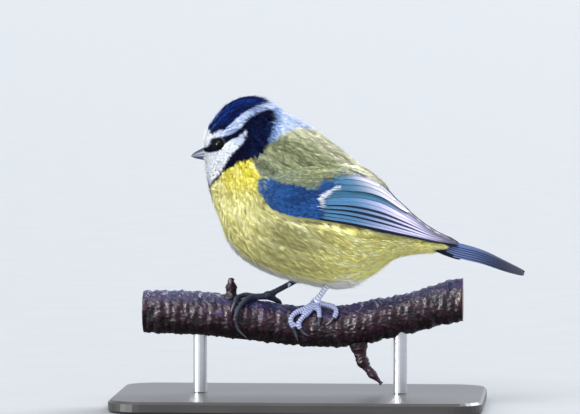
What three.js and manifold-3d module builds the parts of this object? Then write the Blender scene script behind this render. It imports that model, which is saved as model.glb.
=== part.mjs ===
// A blue tit on a cut length of branch, held by a flat stand, life size in millimetres.
// +Z is up, the bird faces -X, its left side faces -Y, and the origin is the centre of the
// underside of the stand.
import * as THREE from 'three';
import { mergeVertices } from 'three/addons/utils/BufferGeometryUtils.js';
import Module from 'manifold-3d';

// Driving dimensions
const GAP = 0.3;
const DEGREE = Math.PI / 180;
const HEAD_YAW = 11 * DEGREE;
const NECK_PIVOT_X = -9;
const BODY_SIDES = 24;
const ROWS_PER_STATION = 2;
const EYE_RADIUS = 2.3;
const EYE_PLACE = { x: -23.7, y: 7.9, z: 83.4 };
const BILL_ROOT = { x: -29.4, z: 80.15 };
const BILL_LENGTH = 6.1;
const BILL_DROP = 7 * DEGREE;
const WING_THICKNESS = 1.3;
const TAIL_THICKNESS = 1.0;
const THIGH_REACH = 6.5;
const TARSUS_RADIUS = 0.85;
const TOE_RADIUS = 0.85;
const CLAW_RADIUS = 0.5;
const PAD_RADIUS = 1.45;
const BRANCH_RADIUS = 6.6;
const BRANCH_SIDES = 16;
const BRANCH_STEP = 3.4;
const STAND_LENGTH = 118;
const STAND_WIDTH = 70;
const STAND_HEIGHT = 4;
const STAND_EDGE = 0.8;
const ROD_RADIUS = 2.2;
const ROD_PLACES = { front: -32, back: 32 };
const SOCKET_DEPTH = 3;

// Sections of the plumage from the face to the tail coverts. Each one stands on the line from
// its bottom to its top, half is its half width, and bow is how far its sides lie back.
const BODY = [
  { top: [-30.6, 82.8], bottom: [-30.4, 77.9], half: 2.4, bow: 0.0 },
  { top: [-30.7, 86.0], bottom: [-30.2, 75.4], half: 6.7, bow: 2.4 },
  { top: [-28.5, 90.4], bottom: [-29.8, 73.0], half: 9.6, bow: 4.8 },
  { top: [-23.4, 96.2], bottom: [-29.4, 70.2], half: 11.4, bow: 6.8 },
  { top: [-16.8, 98.8], bottom: [-28.7, 67.4], half: 12.2, bow: 6.6 },
  { top: [-11.6, 97.4], bottom: [-27.6, 64.0], half: 13.0, bow: 5.2 },
  { top: [-6.4, 94.3], bottom: [-26.3, 61.0], half: 14.8, bow: 3.8 },
  { top: [1.6, 90.4], bottom: [-24.5, 56.2], half: 17.8, bow: 2.0 },
  { top: [10.6, 84.1], bottom: [-21.1, 49.5], half: 20.1, bow: 0.8 },
  { top: [18.6, 77.6], bottom: [-11.4, 43.1], half: 20.7, bow: 0.0 },
  { top: [24.4, 70.6], bottom: [2.0, 39.1], half: 19.4, bow: 0.0 },
  { top: [28.9, 64.4], bottom: [14.5, 38.0], half: 16.0, bow: 0.0 },
  { top: [33.6, 59.2], bottom: [25.2, 44.2], half: 11.0, bow: 0.0 },
  { top: [38.6, 56.0], bottom: [31.6, 48.0], half: 7.2, bow: 0.0 },
  { top: [44.6, 53.0], bottom: [42.6, 49.4], half: 4.0, bow: 0.0 },
];
const HEAD_END = 5.4;
const NECK_END = 7.0;
const TRUNK_END = 11.9;
const CUT = 0.05;

// Sections of the left wing from the bend to the tip: [x, y, z] of the upper and lower edge.
const WING = [
  { upper: [-13.4, -16.6, 72.6], lower: [-13.0, -17.4, 69.2], bulge: 0.3 },
  { upper: [-4.8, -18.4, 74.6], lower: [-5.2, -20.2, 63.2], bulge: 1.0 },
  { upper: [6.0, -16.8, 75.8], lower: [6.4, -21.4, 61.0], bulge: 1.6 },
  { upper: [16.8, -10.2, 75.6], lower: [17.6, -19.8, 59.4], bulge: 2.2 },
  { upper: [24.6, -3.8, 72.0], lower: [27.2, -15.6, 57.4], bulge: 2.0 },
  { upper: [31.6, -1.5, 65.6], lower: [36.2, -9.8, 55.4], bulge: 1.2 },
  { upper: [41.0, -1.1, 58.2], lower: [44.0, -6.0, 53.6], bulge: 0.5 },
  { upper: [50.0, -1.7, 54.1], lower: [51.2, -3.6, 52.5], bulge: 0.1 },
];
const COVERTS_END = 2.25;
const TERTIALS_START = 3.0;
const TERTIALS_WIDTH = 0.36;
const WING_SEAM = 0.03;
const WING_MARGIN = 0.05;

// Sections of the folded tail, a low roof of feathers: x and z of its ridge.
const TAIL = [
  { ridge: [45.0, 53.0], half: 3.6, drop: 2.4 },
  { ridge: [51.5, 51.6], half: 4.6, drop: 3.2 },
  { ridge: [58.5, 49.4], half: 5.6, drop: 3.0 },
  { ridge: [65.5, 46.0], half: 6.3, drop: 2.4 },
  { ridge: [71.6, 43.0], half: 6.4, drop: 1.6 },
];
const TAIL_NOTCH = 1.6;

// Centre line of the branch: x, z and how thick it is there.
const BRANCH = [
  { at: [-50.0, 30.0], girth: 1.02 },
  { at: [-32.0, 29.2], girth: 1.06 },
  { at: [-16.0, 27.6], girth: 1.0 },
  { at: [0.0, 25.5], girth: 0.96 },
  { at: [12.8, 25.3], girth: 0.99 },
  { at: [22.4, 27.0], girth: 1.03 },
  { at: [32.0, 29.4], girth: 0.98 },
  { at: [52.0, 34.0], girth: 1.05 },
];

// Toes: each point is x along the branch and the degrees round it from its top towards -Y.
// The last two points of each are its claw.
const FEET = {
  left: {
    pad: { x: 4.9, turn: 14 },
    heel: [14.0, -11.0, 45.5],
    toes: {
      inner: [[4.4, 20], [1.8, 38], [-1.3, 55], [-2.5, 73], [-1.6, 92], [-0.8, 112], [-0.3, 132]],
      middle: [[4.8, 22], [3.4, 44], [1.4, 63], [0.1, 80], [0.6, 93], [1.8, 104], [3.2, 112]],
      outer: [[5.4, 20], [6.2, 38], [6.6, 54], [6.6, 64], [6.5, 74], [6.4, 84]],
      hind: [[5.6, 10], [8.6, 20], [11.2, 33], [11.9, 50], [11.2, 64], [9.8, 75], [8.4, 80]],
    },
  },
  right: {
    pad: { x: -10.4, turn: -4 },
    heel: [4.2, 7.8, 42.6],
    toes: {
      inner: [[-11.4, 2], [-14.4, 14], [-16.8, 34], [-19.0, 62], [-20.1, 88], [-19.3, 116], [-16.6, 150]],
      middle: [[-11.8, 0], [-14.6, 2], [-17.6, 8], [-19.7, 28], [-20.4, 48], [-21.0, 60], [-21.5, 74]],
      outer: [[-11, -7], [-13.6, -17], [-16.2, -32], [-17.4, -54], [-17.5, -80], [-17, -92], [-16.2, -106]],
      hind: [[-9.2, -8], [-7.4, -24], [-6.8, -46], [-7.0, -66], [-7.6, -84], [-8.4, -100]],
    },
  },
};

const wasm = await Module();
wasm.setup();

const paint = {
  plumage: { color: 0xb9b04a, roughness: 0.9 },
  cap: { color: 0x1d3f7e, roughness: 0.85 },
  collar: { color: 0x101c3c, roughness: 0.85 },
  wing: { color: 0x2f5f9e, roughness: 0.7 },
  quill: { color: 0x5e86a8, roughness: 0.6 },
  horn: { color: 0x3b4254, roughness: 0.45 },
  leg: { color: 0x5f748f, roughness: 0.55 },
  eye: { color: 0x080708, roughness: 0.08 },
  bark: { color: 0x3d2327, roughness: 0.5 },
  stand: { color: 0x2a2a2b, roughness: 0.45 },
  rod: { color: 0xb9bbc0, roughness: 0.3, metalness: 1 },
};

// Smooth value between the sections: field picks one number of a section.
function along(sections, place, field) {
  const last = sections.length - 1;
  const cell = Math.max(0, Math.min(Math.floor(place), last - 1));
  const t = place - cell;
  const value = (index) => field(sections[Math.max(0, Math.min(last, index))]);
  const before = value(cell - 1);
  const start = value(cell);
  const end = value(cell + 1);
  const after = value(cell + 2);
  const slopeIn = (end - before) / 2;
  const slopeOut = (after - start) / 2;
  const bend = 2 * t ** 3 - 3 * t ** 2;
  return start + (start - end) * bend + slopeIn * (t ** 3 - 2 * t ** 2 + t) + slopeOut * (t ** 3 - t ** 2);
}

function steps(from, to, count) {
  return Array.from({ length: count + 1 }, (unused, index) => from + ((to - from) * index) / count);
}

// Triangles from flat lists of corners, merged, with the faces turned outwards.
function closedGeometry(corners) {
  const positions = corners.flatMap((corner) => [corner.x, corner.y, corner.z]);
  let volume = 0;
  for (let i = 0; i < corners.length; i += 3) {
    volume += corners[i].dot(new THREE.Vector3().crossVectors(corners[i + 1], corners[i + 2]));
  }
  if (volume < 0) {
    for (let i = 0; i < positions.length; i += 9) {
      for (let axis = 0; axis < 3; axis += 1) {
        const [second, third] = [i + 3 + axis, i + 6 + axis];
        [positions[second], positions[third]] = [positions[third], positions[second]];
      }
    }
  }
  const geometry = new THREE.BufferGeometry();
  geometry.setAttribute('position', new THREE.Float32BufferAttribute(positions, 3));
  return mergeVertices(geometry, 1e-4);
}

// The wall between closed rings of equal count, as corners of triangles.
function ringWall(rings) {
  const corners = [];
  const count = rings[0].length;
  for (let row = 0; row < rings.length - 1; row += 1) {
    for (let side = 0; side < count; side += 1) {
      const next = (side + 1) % count;
      const [a, b, c, d] = [rings[row][side], rings[row][next], rings[row + 1][next], rings[row + 1][side]];
      corners.push(a, b, c, a, c, d);
    }
  }
  return corners;
}

// Rings closed at both ends by a fan.
function ringSolid(rings) {
  const corners = ringWall(rings);
  const count = rings[0].length;
  const centre = (ring) => ring.reduce((sum, p) => sum.add(p), new THREE.Vector3()).divideScalar(ring.length);
  const first = rings[0];
  const last = rings[rings.length - 1];
  const firstCentre = centre(first);
  const lastCentre = centre(last);
  for (let side = 0; side < count; side += 1) {
    const next = (side + 1) % count;
    corners.push(firstCentre, first[next], first[side], lastCentre, last[side], last[next]);
  }
  return closedGeometry(corners);
}

// A plate between two grids of points of the same size, closed at both ends by a strip.
function plateSolid(outer, inner) {
  const corners = ringWall(outer.map((row, index) => [...row, ...inner[index].slice().reverse()]));
  const last = outer.length - 1;
  const endQuad = (row, column) => (
    [outer[row][column], outer[row][column + 1], inner[row][column + 1], inner[row][column]]
  );
  for (let column = 0; column < outer[0].length - 1; column += 1) {
    const [a, b, c, d] = endQuad(0, column);
    corners.push(b, a, d, b, d, c);
    const [e, f, g, h] = endQuad(last, column);
    corners.push(e, f, h, f, g, h);
  }
  return closedGeometry(corners);
}

function toSolid(geometry) {
  const bare = geometry.clone();
  bare.deleteAttribute('normal');
  bare.deleteAttribute('uv');
  const merged = mergeVertices(bare, 1e-4);
  return new wasm.Manifold(new wasm.Mesh({
    numProp: 3,
    vertProperties: merged.attributes.position.array,
    triVerts: new Uint32Array(merged.index.array),
  }));
}

function toGeometry(solid) {
  const mesh = solid.getMesh();
  const geometry = new THREE.BufferGeometry();
  geometry.setAttribute('position', new THREE.BufferAttribute(Float32Array.from(mesh.vertProperties), 3));
  geometry.setIndex(new THREE.BufferAttribute(Uint32Array.from(mesh.triVerts), 1));
  return geometry;
}

function cut(geometry, cutters) {
  let solid = toSolid(geometry);
  for (const cutter of cutters) {
    solid = solid.subtract(toSolid(cutter));
  }
  return toGeometry(solid);
}

// The joined pieces as one body, without the slivers and pockets left where they cross.
function join(geometries) {
  const joined = geometries.map(toSolid).reduce((sum, solid) => sum.add(solid));
  const bodies = joined.decompose().sort((one, other) => other.volume() - one.volume());
  return toGeometry(bodies[0]);
}

function mirrored(geometry) {
  const copy = geometry.clone().applyMatrix4(new THREE.Matrix4().makeScale(1, -1, 1));
  const index = copy.index.array;
  for (let i = 0; i < index.length; i += 3) {
    [index[i + 1], index[i + 2]] = [index[i + 2], index[i + 1]];
  }
  return copy;
}

// The head is turned about an upright line through the neck, fully in front of the collar.
function turned(point, share) {
  const yaw = HEAD_YAW * share;
  const reach = (point.x - NECK_PIVOT_X) / Math.cos(yaw);
  const x = NECK_PIVOT_X + reach * Math.cos(yaw) + point.y * Math.sin(yaw);
  const y = -reach * Math.sin(yaw) + point.y * Math.cos(yaw);
  return new THREE.Vector3(x, y, point.z);
}

function bodyPoint(place, angle) {
  const read = (field) => along(BODY, place, field);
  const top = new THREE.Vector2(read((s) => s.top[0]), read((s) => s.top[1]));
  const bottom = new THREE.Vector2(read((s) => s.bottom[0]), read((s) => s.bottom[1]));
  const half = read((s) => s.half);
  const bow = read((s) => s.bow);
  const rise = top.clone().sub(bottom).multiplyScalar(0.5);
  const centre = top.clone().add(bottom).multiplyScalar(0.5);
  const back = new THREE.Vector2(rise.y, -rise.x).normalize();
  const side = Math.sin(angle);
  const x = centre.x + rise.x * Math.cos(angle) + back.x * bow * side ** 2;
  const z = centre.y + rise.y * Math.cos(angle) + back.y * bow * side ** 2;
  const share = 1 - THREE.MathUtils.smoothstep(place, 4.5, 9);
  return turned(new THREE.Vector3(x, -half * side, z), share);
}

function bodyLength(from, to) {
  const rows = Math.max(2, Math.round((to - from) * ROWS_PER_STATION));
  const rings = steps(from, to, rows).map((place) => (
    Array.from({ length: BODY_SIDES }, (unused, side) => bodyPoint(place, (side / BODY_SIDES) * Math.PI * 2))
  ));
  return ringSolid(rings);
}

// A round bar along a curve, with a radius for each share of its length.
function bar(points, radiusAt, sides, rows, grow = 0) {
  const curve = new THREE.CatmullRomCurve3(points, false, 'centripetal');
  const frames = curve.computeFrenetFrames(rows, false);
  const rings = steps(0, 1, rows).map((share, row) => {
    const centre = curve.getPointAt(share);
    const radius = radiusAt(share) + grow;
    return Array.from({ length: sides }, (unused, side) => {
      const angle = (side / sides) * Math.PI * 2;
      return centre.clone()
        .addScaledVector(frames.normals[row], Math.cos(angle) * radius)
        .addScaledVector(frames.binormals[row], Math.sin(angle) * radius);
    });
  });
  return ringSolid(rings);
}

function ball(centre, radius, sides = 14) {
  const sphere = new THREE.SphereGeometry(radius, sides, Math.round(sides * 0.6));
  return sphere.translate(centre.x, centre.y, centre.z);
}

function wingPoint(place, across, depth) {
  const edge = (name) => new THREE.Vector3(
    along(WING, place, (s) => s[name][0]),
    along(WING, place, (s) => s[name][1]),
    along(WING, place, (s) => s[name][2]),
  );
  const upper = edge('upper');
  const lower = edge('lower');
  const bulge = along(WING, place, (s) => s.bulge);
  const chord = lower.clone().sub(upper).normalize();
  const outward = new THREE.Vector3(0, chord.z, -chord.y).normalize();
  const hump = bulge * Math.sin(Math.PI * across);
  return upper.lerp(lower, across).addScaledVector(outward, hump - depth);
}

function wingPiece(from, to, start, end, grow = 0) {
  const rows = Math.max(3, Math.round((to - from) * 2));
  const columns = end - start > 0.7 ? 6 : 3;
  const thickness = (place) => THREE.MathUtils.lerp(WING_THICKNESS, 0.6, place / (WING.length - 1));
  const grid = (inner) => steps(from, to, rows).map((place) => (
    steps(start, end, columns).map((across) => (
      wingPoint(place, across, inner ? thickness(place) + grow : -grow)
    ))
  ));
  return plateSolid(grid(false), grid(true));
}

function tailSolid(grow = 0) {
  const last = TAIL.length - 1;
  const columns = steps(-1, 1, 8);
  const grid = (depth) => steps(0, last, 8).map((place) => {
    const ridgeX = along(TAIL, place, (s) => s.ridge[0]);
    const ridgeZ = along(TAIL, place, (s) => s.ridge[1]);
    const half = along(TAIL, place, (s) => s.half) + grow;
    const drop = along(TAIL, place, (s) => s.drop);
    const notch = TAIL_NOTCH * (place / last) ** 4;
    return columns.map((across) => new THREE.Vector3(
      ridgeX - notch * (0.5 - across ** 2) - depth * 0.35,
      half * across,
      ridgeZ - drop * Math.abs(across) ** 1.5 - depth,
    ));
  });
  return plateSolid(grid(-grow), grid(TAIL_THICKNESS + grow));
}

// The bill is a cone with a curved ridge. Share 0 is its root and 1 its tip.
function billHalf(upper, grow = 0) {
  const sides = 6;
  const length = upper ? BILL_LENGTH : BILL_LENGTH * 0.95;
  const rings = steps(0, 1, 6).map((share) => {
    const taper = (1 - share) ** 0.65;
    const width = 1.75 * taper + 0.06 + grow;
    const height = (upper ? 2.55 : 2.05) * taper + 0.08 + grow;
    const hook = upper ? -0.25 * share ** 3 : 0;
    return Array.from({ length: sides * 2 }, (unused, index) => {
      const onArc = index < sides;
      const turn = (index / (sides - 1)) * Math.PI;
      const flat = 1 - (2 * (index - sides + 0.5)) / sides;
      const y = onArc ? Math.cos(turn) * width : -width * flat * 0.98;
      const rise = (onArc ? Math.sin(turn) * height : -grow) + GAP / 2;
      return new THREE.Vector3(-share * length, y, (upper ? rise : -rise) + hook);
    });
  });
  const tilt = new THREE.Matrix4().makeRotationY(-BILL_DROP);
  const geometry = ringSolid(rings).applyMatrix4(tilt).translate(BILL_ROOT.x, 0, BILL_ROOT.z);
  return turnedGeometry(geometry);
}

function turnedGeometry(geometry) {
  const position = geometry.attributes.position;
  const point = new THREE.Vector3();
  for (let i = 0; i < position.count; i += 1) {
    const placed = turned(point.fromBufferAttribute(position, i), 1);
    position.setXYZ(i, placed.x, placed.y, placed.z);
  }
  return geometry;
}

function eyeCentre(side) {
  return turned(new THREE.Vector3(EYE_PLACE.x, EYE_PLACE.y * side, EYE_PLACE.z), 1);
}

// Low rings and swellings in the bark, in parts of the radius.
function barkRelief(x, turn) {
  const rings = 0.02 * Math.sin(x * 1.1 + 0.8 * Math.sin(turn)) + 0.015 * Math.sin(x * 2.3 + 2 * turn);
  const ridges = 0.02 * Math.sin(3 * turn + x * 0.15);
  return 1 + rings + ridges;
}

function branchPlace(x) {
  const last = BRANCH.length - 1;
  let cell = 0;
  while (cell < last - 1 && BRANCH[cell + 1].at[0] < x) {
    cell += 1;
  }
  return cell + (x - BRANCH[cell].at[0]) / (BRANCH[cell + 1].at[0] - BRANCH[cell].at[0]);
}

function branchPoint(x, turn, lift = 0) {
  const place = branchPlace(x);
  const centreZ = along(BRANCH, place, (s) => s.at[1]);
  const radius = BRANCH_RADIUS * along(BRANCH, place, (s) => s.girth) * barkRelief(x, turn) + lift;
  return new THREE.Vector3(x, -radius * Math.sin(turn), centreZ + radius * Math.cos(turn));
}

function branchSolid() {
  const from = BRANCH[0].at[0];
  const to = BRANCH[BRANCH.length - 1].at[0];
  const turns = steps(0, Math.PI * 2, BRANCH_SIDES).slice(0, -1);
  const places = steps(from, to, Math.round((to - from) / BRANCH_STEP));
  const rings = places.map((x) => turns.map((turn) => branchPoint(x, turn)));
  const sockets = Object.values(ROD_PLACES).map((x) => rod(x, GAP));
  return cut(ringSolid(rings), sockets);
}

function rod(x, grow = 0) {
  const underside = branchPoint(x, Math.PI).z;
  const foot = STAND_HEIGHT + GAP - grow;
  const top = underside + SOCKET_DEPTH + grow;
  const cylinder = new THREE.CylinderGeometry(ROD_RADIUS + grow, ROD_RADIUS + grow, top - foot, 20);
  return cylinder.rotateX(Math.PI / 2).translate(x, 0, (top + foot) / 2);
}

function standBase() {
  const corner = 10;
  const halfLength = STAND_LENGTH / 2 - STAND_EDGE;
  const halfWidth = STAND_WIDTH / 2 - STAND_EDGE;
  const outline = new THREE.Shape();
  outline.moveTo(-halfLength + corner, -halfWidth);
  outline.lineTo(halfLength - corner, -halfWidth);
  outline.absarc(halfLength - corner, -halfWidth + corner, corner, -Math.PI / 2, 0);
  outline.absarc(halfLength - corner, halfWidth - corner, corner, 0, Math.PI / 2);
  outline.absarc(-halfLength + corner, halfWidth - corner, corner, Math.PI / 2, Math.PI);
  outline.absarc(-halfLength + corner, -halfWidth + corner, corner, Math.PI, Math.PI * 1.5);
  const plate = new THREE.ExtrudeGeometry(outline, {
    depth: STAND_HEIGHT - 2 * STAND_EDGE,
    bevelThickness: STAND_EDGE,
    bevelSize: STAND_EDGE,
    bevelSegments: 1,
    curveSegments: 4,
  });
  return plate.translate(0, 0, STAND_EDGE);
}

// The side twig hangs from the underside and ends above the stand.
function twigSolid() {
  const root = branchPoint(18.6, Math.PI - 0.1, GAP + 0.1);
  const points = [
    root,
    new THREE.Vector3(19.8, -0.6, 15.2),
    new THREE.Vector3(22.4, -1.0, 11.2),
    new THREE.Vector3(26.2, -1.4, 7.2),
  ];
  return bar(points, (share) => 3.0 - 2.3 * share ** 0.7 + 0.2 * Math.sin(share * 19), 8, 9);
}

function budSolid() {
  const root = branchPoint(-22, 0.15, GAP + 0.1);
  const points = [root, new THREE.Vector3(-21.9, -0.8, 38.2), new THREE.Vector3(-22.1, -0.6, 40.8)];
  return bar(points, (share) => 2.2 - 0.9 * share + 0.25 * Math.sin(share * 14), 8, 6);
}

// One leg: thigh in the belly feathers, bare shank, and toes that grip the branch.
const padCentre = (foot) => branchPoint(foot.pad.x, foot.pad.turn * DEGREE, PAD_RADIUS + GAP);
const heelPoint = (foot) => new THREE.Vector3(...foot.heel);

function thighSolid(foot, grow = 0) {
  const heel = heelPoint(foot);
  const shank = padCentre(foot).sub(heel).normalize();
  const side = Math.sign(heel.y);
  const hip = heel.clone().add(new THREE.Vector3(1.5, side * 1.2, 7.5));
  const hem = heel.clone().addScaledVector(shank, THIGH_REACH + grow);
  return bar([hip, heel, hem], (share) => 4.8 - 3.4 * share ** 0.9, 12, 6, grow);
}

function shankSolid(foot, grow = 0) {
  const heel = heelPoint(foot);
  const pad = padCentre(foot);
  const line = pad.clone().sub(heel).normalize();
  const top = heel.clone().addScaledVector(line, THIGH_REACH + GAP);
  const end = pad.clone().addScaledVector(line, -PAD_RADIUS - GAP);
  const middle = top.clone().lerp(end, 0.5);
  return bar([top, middle, end], (share) => TARSUS_RADIUS * (1 + 0.25 * (2 * share - 1) ** 4), 10, 6, grow);
}

const CLAW_POINTS = 2;

function toePoint([x, degrees], radius) {
  return branchPoint(x, degrees * DEGREE, radius + GAP);
}

function toeSolid(path) {
  const points = path.slice(0, -CLAW_POINTS).map((place) => toePoint(place, TOE_RADIUS));
  return bar(points, (share) => TOE_RADIUS * (1.08 - 0.22 * share + 0.07 * Math.sin(share * 16)), 7, 6);
}

function clawSolid(path) {
  const toeEnd = toePoint(path[path.length - CLAW_POINTS - 1], TOE_RADIUS);
  const bend = toePoint(path[path.length - 2], CLAW_RADIUS);
  const tip = toePoint(path[path.length - 1], 0.15);
  const start = bend.clone().sub(toeEnd).normalize().multiplyScalar(GAP + 0.1).add(toeEnd);
  return bar([start, bend, tip], (share) => CLAW_RADIUS * (1 - 0.8 * share), 5, 5);
}

function footSolid(foot) {
  const toes = Object.values(foot.toes).map(toeSolid);
  return join([ball(padCentre(foot), PAD_RADIUS, 12), ...toes]);
}

const bird = new THREE.Group();

function add(name, geometry, finish) {
  const flat = geometry.index ? geometry.toNonIndexed() : geometry;
  flat.computeVertexNormals();
  const mesh = new THREE.Mesh(flat, new THREE.MeshStandardMaterial(paint[finish]));
  mesh.name = name;
  bird.add(mesh);
}

// Cutters that leave the gap round each neighbour
const lastWing = WING.length - 1;
const wingCutter = wingPiece(-WING_MARGIN, lastWing + WING_MARGIN, -WING_MARGIN, 1 + WING_MARGIN, GAP);
const wingCutters = [wingCutter, mirrored(wingCutter)];
const legCutters = Object.values(FEET).flatMap((foot) => [thighSolid(foot, GAP), shankSolid(foot, GAP)]);
const eyeCutters = [-1, 1].map((side) => ball(eyeCentre(side), EYE_RADIUS + GAP));
const billCutters = [billHalf(true, GAP), billHalf(false, GAP)];

add('head', cut(bodyLength(0, HEAD_END - CUT), [...eyeCutters, ...billCutters]), 'cap');
add('neck', cut(bodyLength(HEAD_END + CUT, NECK_END - CUT), wingCutters), 'collar');
add('trunk', cut(bodyLength(NECK_END + CUT, TRUNK_END - CUT), [...wingCutters, ...legCutters]), 'plumage');
add('rump', cut(bodyLength(TRUNK_END + CUT, BODY.length - 1), wingCutters), 'plumage');
add('tail', cut(tailSolid(), wingCutters), 'quill');
add('bill_upper', billHalf(true), 'horn');
add('bill_lower', billHalf(false), 'horn');
for (const [name, side] of [['left', -1], ['right', 1]]) {
  const seat = (geometry) => (side < 0 ? geometry : mirrored(geometry));
  const foot = FEET[name];
  add(`eye_${name}`, ball(eyeCentre(side), EYE_RADIUS), 'eye');
  add(`wing_${name}_coverts`, seat(wingPiece(0, COVERTS_END, 0, 1)), 'wing');
  const middle = wingPiece(COVERTS_END + WING_SEAM, TERTIALS_START - WING_SEAM, 0, 1);
  add(`wing_${name}_secondaries`, seat(middle), 'quill');
  const rear = TERTIALS_START + WING_SEAM;
  add(`wing_${name}_tertials`, seat(wingPiece(rear, lastWing, 0, TERTIALS_WIDTH - WING_SEAM)), 'quill');
  add(`wing_${name}_primaries`, seat(wingPiece(rear, lastWing, TERTIALS_WIDTH + WING_SEAM, 1)), 'quill');
  add(`thigh_${name}`, thighSolid(foot), 'plumage');
  add(`tarsus_${name}`, shankSolid(foot), 'leg');
  add(`foot_${name}`, footSolid(foot), 'leg');
  for (const [toe, path] of Object.entries(foot.toes)) {
    add(`claw_${name}_${toe}`, clawSolid(path), 'horn');
  }
}
add('perch', branchSolid(), 'bark');
add('perch_twig', twigSolid(), 'bark');
add('perch_bud', budSolid(), 'bark');
add('stand_base', standBase(), 'stand');
add('stand_rod_front', rod(ROD_PLACES.front), 'rod');
add('stand_rod_back', rod(ROD_PLACES.back), 'rod');

export default bird;
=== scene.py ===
import math
import bmesh
import bpy
import numpy as np
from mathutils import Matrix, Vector, kdtree, noise


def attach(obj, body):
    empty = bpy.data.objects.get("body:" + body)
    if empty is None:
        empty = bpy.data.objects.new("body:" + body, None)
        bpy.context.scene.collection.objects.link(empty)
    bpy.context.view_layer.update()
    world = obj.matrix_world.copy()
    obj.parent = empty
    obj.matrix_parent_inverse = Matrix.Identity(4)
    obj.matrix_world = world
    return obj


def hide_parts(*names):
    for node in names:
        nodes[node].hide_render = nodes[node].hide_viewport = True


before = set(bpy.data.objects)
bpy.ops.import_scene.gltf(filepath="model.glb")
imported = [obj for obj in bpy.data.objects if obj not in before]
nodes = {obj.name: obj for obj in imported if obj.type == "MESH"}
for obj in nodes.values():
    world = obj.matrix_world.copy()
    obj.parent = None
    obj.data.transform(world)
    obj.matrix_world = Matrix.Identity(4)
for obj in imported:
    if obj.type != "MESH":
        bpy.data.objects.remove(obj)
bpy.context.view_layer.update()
rng = np.random.default_rng(7)
mm = 0.001
degree = math.pi / 180
gap = 0.3

# The photo's plane: pixels per millimetre, the pixel of the origin, and the way the camera looks
pixelsPerMm = 3.13
originPixel = (300.0, 405.5)
viewAzimuth = 4 * degree
viewElevation = 3 * degree
rightWay = np.array([math.cos(viewAzimuth), math.sin(viewAzimuth), 0.0])
backWay = np.array([
    math.sin(viewAzimuth) * math.cos(viewElevation),
    -math.cos(viewAzimuth) * math.cos(viewElevation),
    math.sin(viewElevation),
])
upWay = np.cross(backWay, rightWay)


def toPixels(points):
    x = originPixel[0] + pixelsPerMm * (points @ rightWay)
    y = originPixel[1] - pixelsPerMm * (points @ upWay)
    return x, y


def unit(vectors):
    return vectors / np.maximum(np.linalg.norm(vectors, axis=-1, keepdims=True), 1e-9)


def smoothStep(low, high, value):
    share = np.clip((value - low) / (high - low), 0, 1)
    return share * share * (3 - 2 * share)


def tone(red, green, blue):
    # A screen colour, 0 to 255, as linear light
    colour = np.array([red, green, blue]) / 255
    return np.where(colour <= 0.04045, colour / 12.92, ((colour + 0.055) / 1.055) ** 2.4)


def blendTones(first, second, share):
    share = np.asarray(share)[..., None]
    return first * (1 - share) + second * share


# Shapes, from the same numbers as the solids
def along(table, place):
    # Smooth rows of a table at fractional places, straight on past its ends
    last = len(table) - 1
    inside = np.clip(place, 0, last)
    beyond = (np.asarray(place, float) - inside)[..., None]
    slope = np.where(beyond > 0, (table[last] - table[last - 1]) / 2, (table[1] - table[0]) / 2)
    return smoothRow(table, inside) + beyond * slope


def smoothRow(table, place):
    last = len(table) - 1
    cell = np.clip(np.floor(place), 0, last - 1).astype(int)
    t = (place - cell)[..., None]
    before = table[np.clip(cell - 1, 0, last)]
    start = table[cell]
    end = table[cell + 1]
    after = table[np.clip(cell + 2, 0, last)]
    slopeIn = (end - before) / 2
    slopeOut = (after - start) / 2
    bend = 2 * t ** 3 - 3 * t ** 2
    return start + (start - end) * bend + slopeIn * (t ** 3 - 2 * t ** 2 + t) + slopeOut * (t ** 3 - t ** 2)


# Body sections: top x and z, bottom x and z, half width, bow of the sides
body = np.array([
    [-30.6, 82.8, -30.4, 77.9, 2.4, 0.0],
    [-30.7, 86.0, -30.2, 75.4, 6.7, 2.4],
    [-28.5, 90.4, -29.8, 73.0, 9.6, 4.8],
    [-23.4, 96.2, -29.4, 70.2, 11.4, 6.8],
    [-16.8, 98.8, -28.7, 67.4, 12.2, 6.6],
    [-11.6, 97.4, -27.6, 64.0, 13.0, 5.2],
    [-6.4, 94.3, -26.3, 61.0, 14.8, 3.8],
    [1.6, 90.4, -24.5, 56.2, 17.8, 2.0],
    [10.6, 84.1, -21.1, 49.5, 20.1, 0.8],
    [18.6, 77.6, -11.4, 43.1, 20.7, 0.0],
    [24.4, 70.6, 2.0, 39.1, 19.4, 0.0],
    [28.9, 64.4, 14.5, 38.0, 16.0, 0.0],
    [33.6, 59.2, 25.2, 44.2, 11.0, 0.0],
    [38.6, 56.0, 31.6, 48.0, 7.2, 0.0],
    [44.6, 53.0, 42.6, 49.4, 4.0, 0.0],
])
headYaw = 11 * degree
neckPivot = -9.0


def turned(points, share):
    yaw = headYaw * share
    reach = (points[..., 0] - neckPivot) / np.cos(yaw)
    x = neckPivot + reach * np.cos(yaw) + points[..., 1] * np.sin(yaw)
    y = -reach * np.sin(yaw) + points[..., 1] * np.cos(yaw)
    return np.stack([x, y, points[..., 2]], -1)


def bodyPoint(place, angle):
    row = along(body, place)
    riseX = (row[..., 0] - row[..., 2]) / 2
    riseZ = (row[..., 1] - row[..., 3]) / 2
    length = np.hypot(riseX, riseZ)
    side = np.sin(angle)
    bow = row[..., 5] * side ** 2 / np.maximum(length, 1e-6)
    x = (row[..., 0] + row[..., 2]) / 2 + riseX * np.cos(angle) + riseZ * bow
    z = (row[..., 1] + row[..., 3]) / 2 + riseZ * np.cos(angle) - riseX * bow
    share = 1 - smoothStep(4.5, 9.0, place)
    return turned(np.stack([x, -row[..., 4] * side, z], -1), share)


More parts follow.
